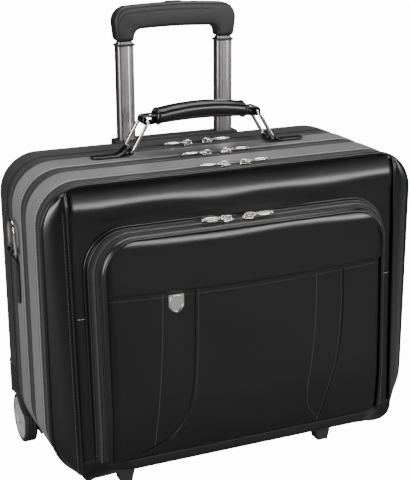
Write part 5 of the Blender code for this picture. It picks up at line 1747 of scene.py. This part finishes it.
def make_linings():
    board = flat_board("organiser_board", 13 * MM, LID_Y - 8 * MM, LID_Y - 10 * MM, "lining", "front_lid")
    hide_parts("lid_organiser")
    slip_pocket("organiser_pocket_low", 180 * MM, 62 * MM, 170 * MM, LID_Y - 8 * MM, 4.5 * MM, "front_lid")
    slip_pocket("organiser_pocket_high", 150 * MM, 180 * MM, 262 * MM, LID_Y - 8 * MM, 3.0 * MM, "front_lid")
    for number in range(3):
        x = (number - 1) * 26 * MM
        line = [(x + 7 * MM * math.cos(math.radians(a)),
                 LID_Y - 7.6 * MM + 5 * MM * math.sin(math.radians(a))) for a in range(0, 181, 15)]
        rows = [[Vector((px, py, 280 * MM + 30 * MM * k / 6)) for px, py in line] for k in range(7)]
        skin("pen_loop_%d" % number, rows, "nylon", "front_lid", thickness=0.8 * MM, front=(0, 1, 0))
    back = SECTION_Y - 3.6 * MM
    slip_pocket("file_pocket", 190 * MM, 60 * MM, 238 * MM, back, 6 * MM, "front_section", -1)
    pad = flat_board("laptop_pad", 9 * MM, MAIN_Y - 4 * MM, MAIN_Y - 13 * MM, "lining", "root")
    for side, sign in (("left", -1), ("right", 1)):
        fan("lid_side_gusset_" + side, sign, LID_Y, 12.5 * MM, "front_section", 5.5 * MM)
        fan("section_side_gusset_" + side, sign, SECTION_Y, 12.5 * MM, "root", 6.5 * MM)


def fan(name, sign, y, reach, back_body, inset):
    """Pleated cloth that joins two sections inside their walls, made in place at rest and carried by neither
    section.
    """
    rows = []
    columns = 24
    for row in range(29):
        v = row / 28
        z = 62 * MM + 176 * MM * v
        line = []
        for column in range(columns + 1):
            u = column / columns
            pleat = 0.5 * MM * math.sin(u * math.pi * 8) * math.sin(math.pi * min(1.0, v * 3) / 2)
            x = CASE_HALF - LEATHER - 4.0 * MM - inset / 2 + pleat
            if z < CASE_LOW + BOTTOM_RADIUS:
                fall = CASE_LOW + BOTTOM_RADIUS - z
                x -= BOTTOM_RADIUS - math.sqrt(BOTTOM_RADIUS ** 2 - fall ** 2)
            line.append(Vector((sign * x, y + reach / 2 - reach * u, z)))
        rows.append(line)
    made = skin(name, rows, "nylon", back_body, front=(sign, 0, 0), ride=False)
    step = made.modifiers.new("thickness", "SOLIDIFY")
    step.thickness = 0.5 * MM
    step.offset = 0
    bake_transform(made)


# --- Plate ------------------------------------------------------------------------------------

def make_plate_rim():
    """The small plate keeps its own shape and gets a raised rim."""
    low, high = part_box("shield_plate")
    half = (high.x - low.x) / 2
    centre = Vector(((low.x + high.x) / 2, 0, 0))
    rim = []
    for k in range(32):
        angle = 2 * math.pi * k / 32
        u, v = math.sin(angle), math.cos(angle)
        narrow = 1.0 if v > 0 else (1 - 0.75 * (-v) ** 2.2)
        x = centre.x + 0.86 * half * math.copysign(abs(u) ** 0.6, u) * narrow
        z = (low.z + high.z) / 2 + 0.43 * (high.z - low.z) * math.copysign(abs(v) ** 0.8, v)
        share = (z - low.z) / (high.z - low.z)
        y = low.y + (high.y - low.y - 1.4 * MM) * share
        rim.append(Vector((x, y - 0.1 * MM, z)))
    tube_along("plate_rim", rim, 0.6 * MM, "nickel", "front_lid", closed=True, sides=10)


# --- Making -----------------------------------------------------------------------------------

make_bands_and_zips()
make_gussets()
make_front_panel()
make_base_band()
make_pocket()
make_rear_section()
make_wheels()
make_trolley()
make_loops_and_chapes()
make_strap_rings()
make_handle()
make_sliders()
make_linings()
make_plate_rim()

DRESSED = {"plastic": ("base_board", "wheel_housing_left", "wheel_housing_right", "tube_bezel"),
           "nylon": ("section_shell", "main_shell"),
           "rubber": ("foot_left", "foot_right"),
           "nickel": ("axle_left", "axle_right", "shield_plate"),
           "tube": ("outer_tube_left", "outer_tube_right")}
for finish, names in DRESSED.items():
    for name in names:
        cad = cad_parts[name]
        cad.data.materials.clear()
        cad.data.materials.append(FINISH[finish])
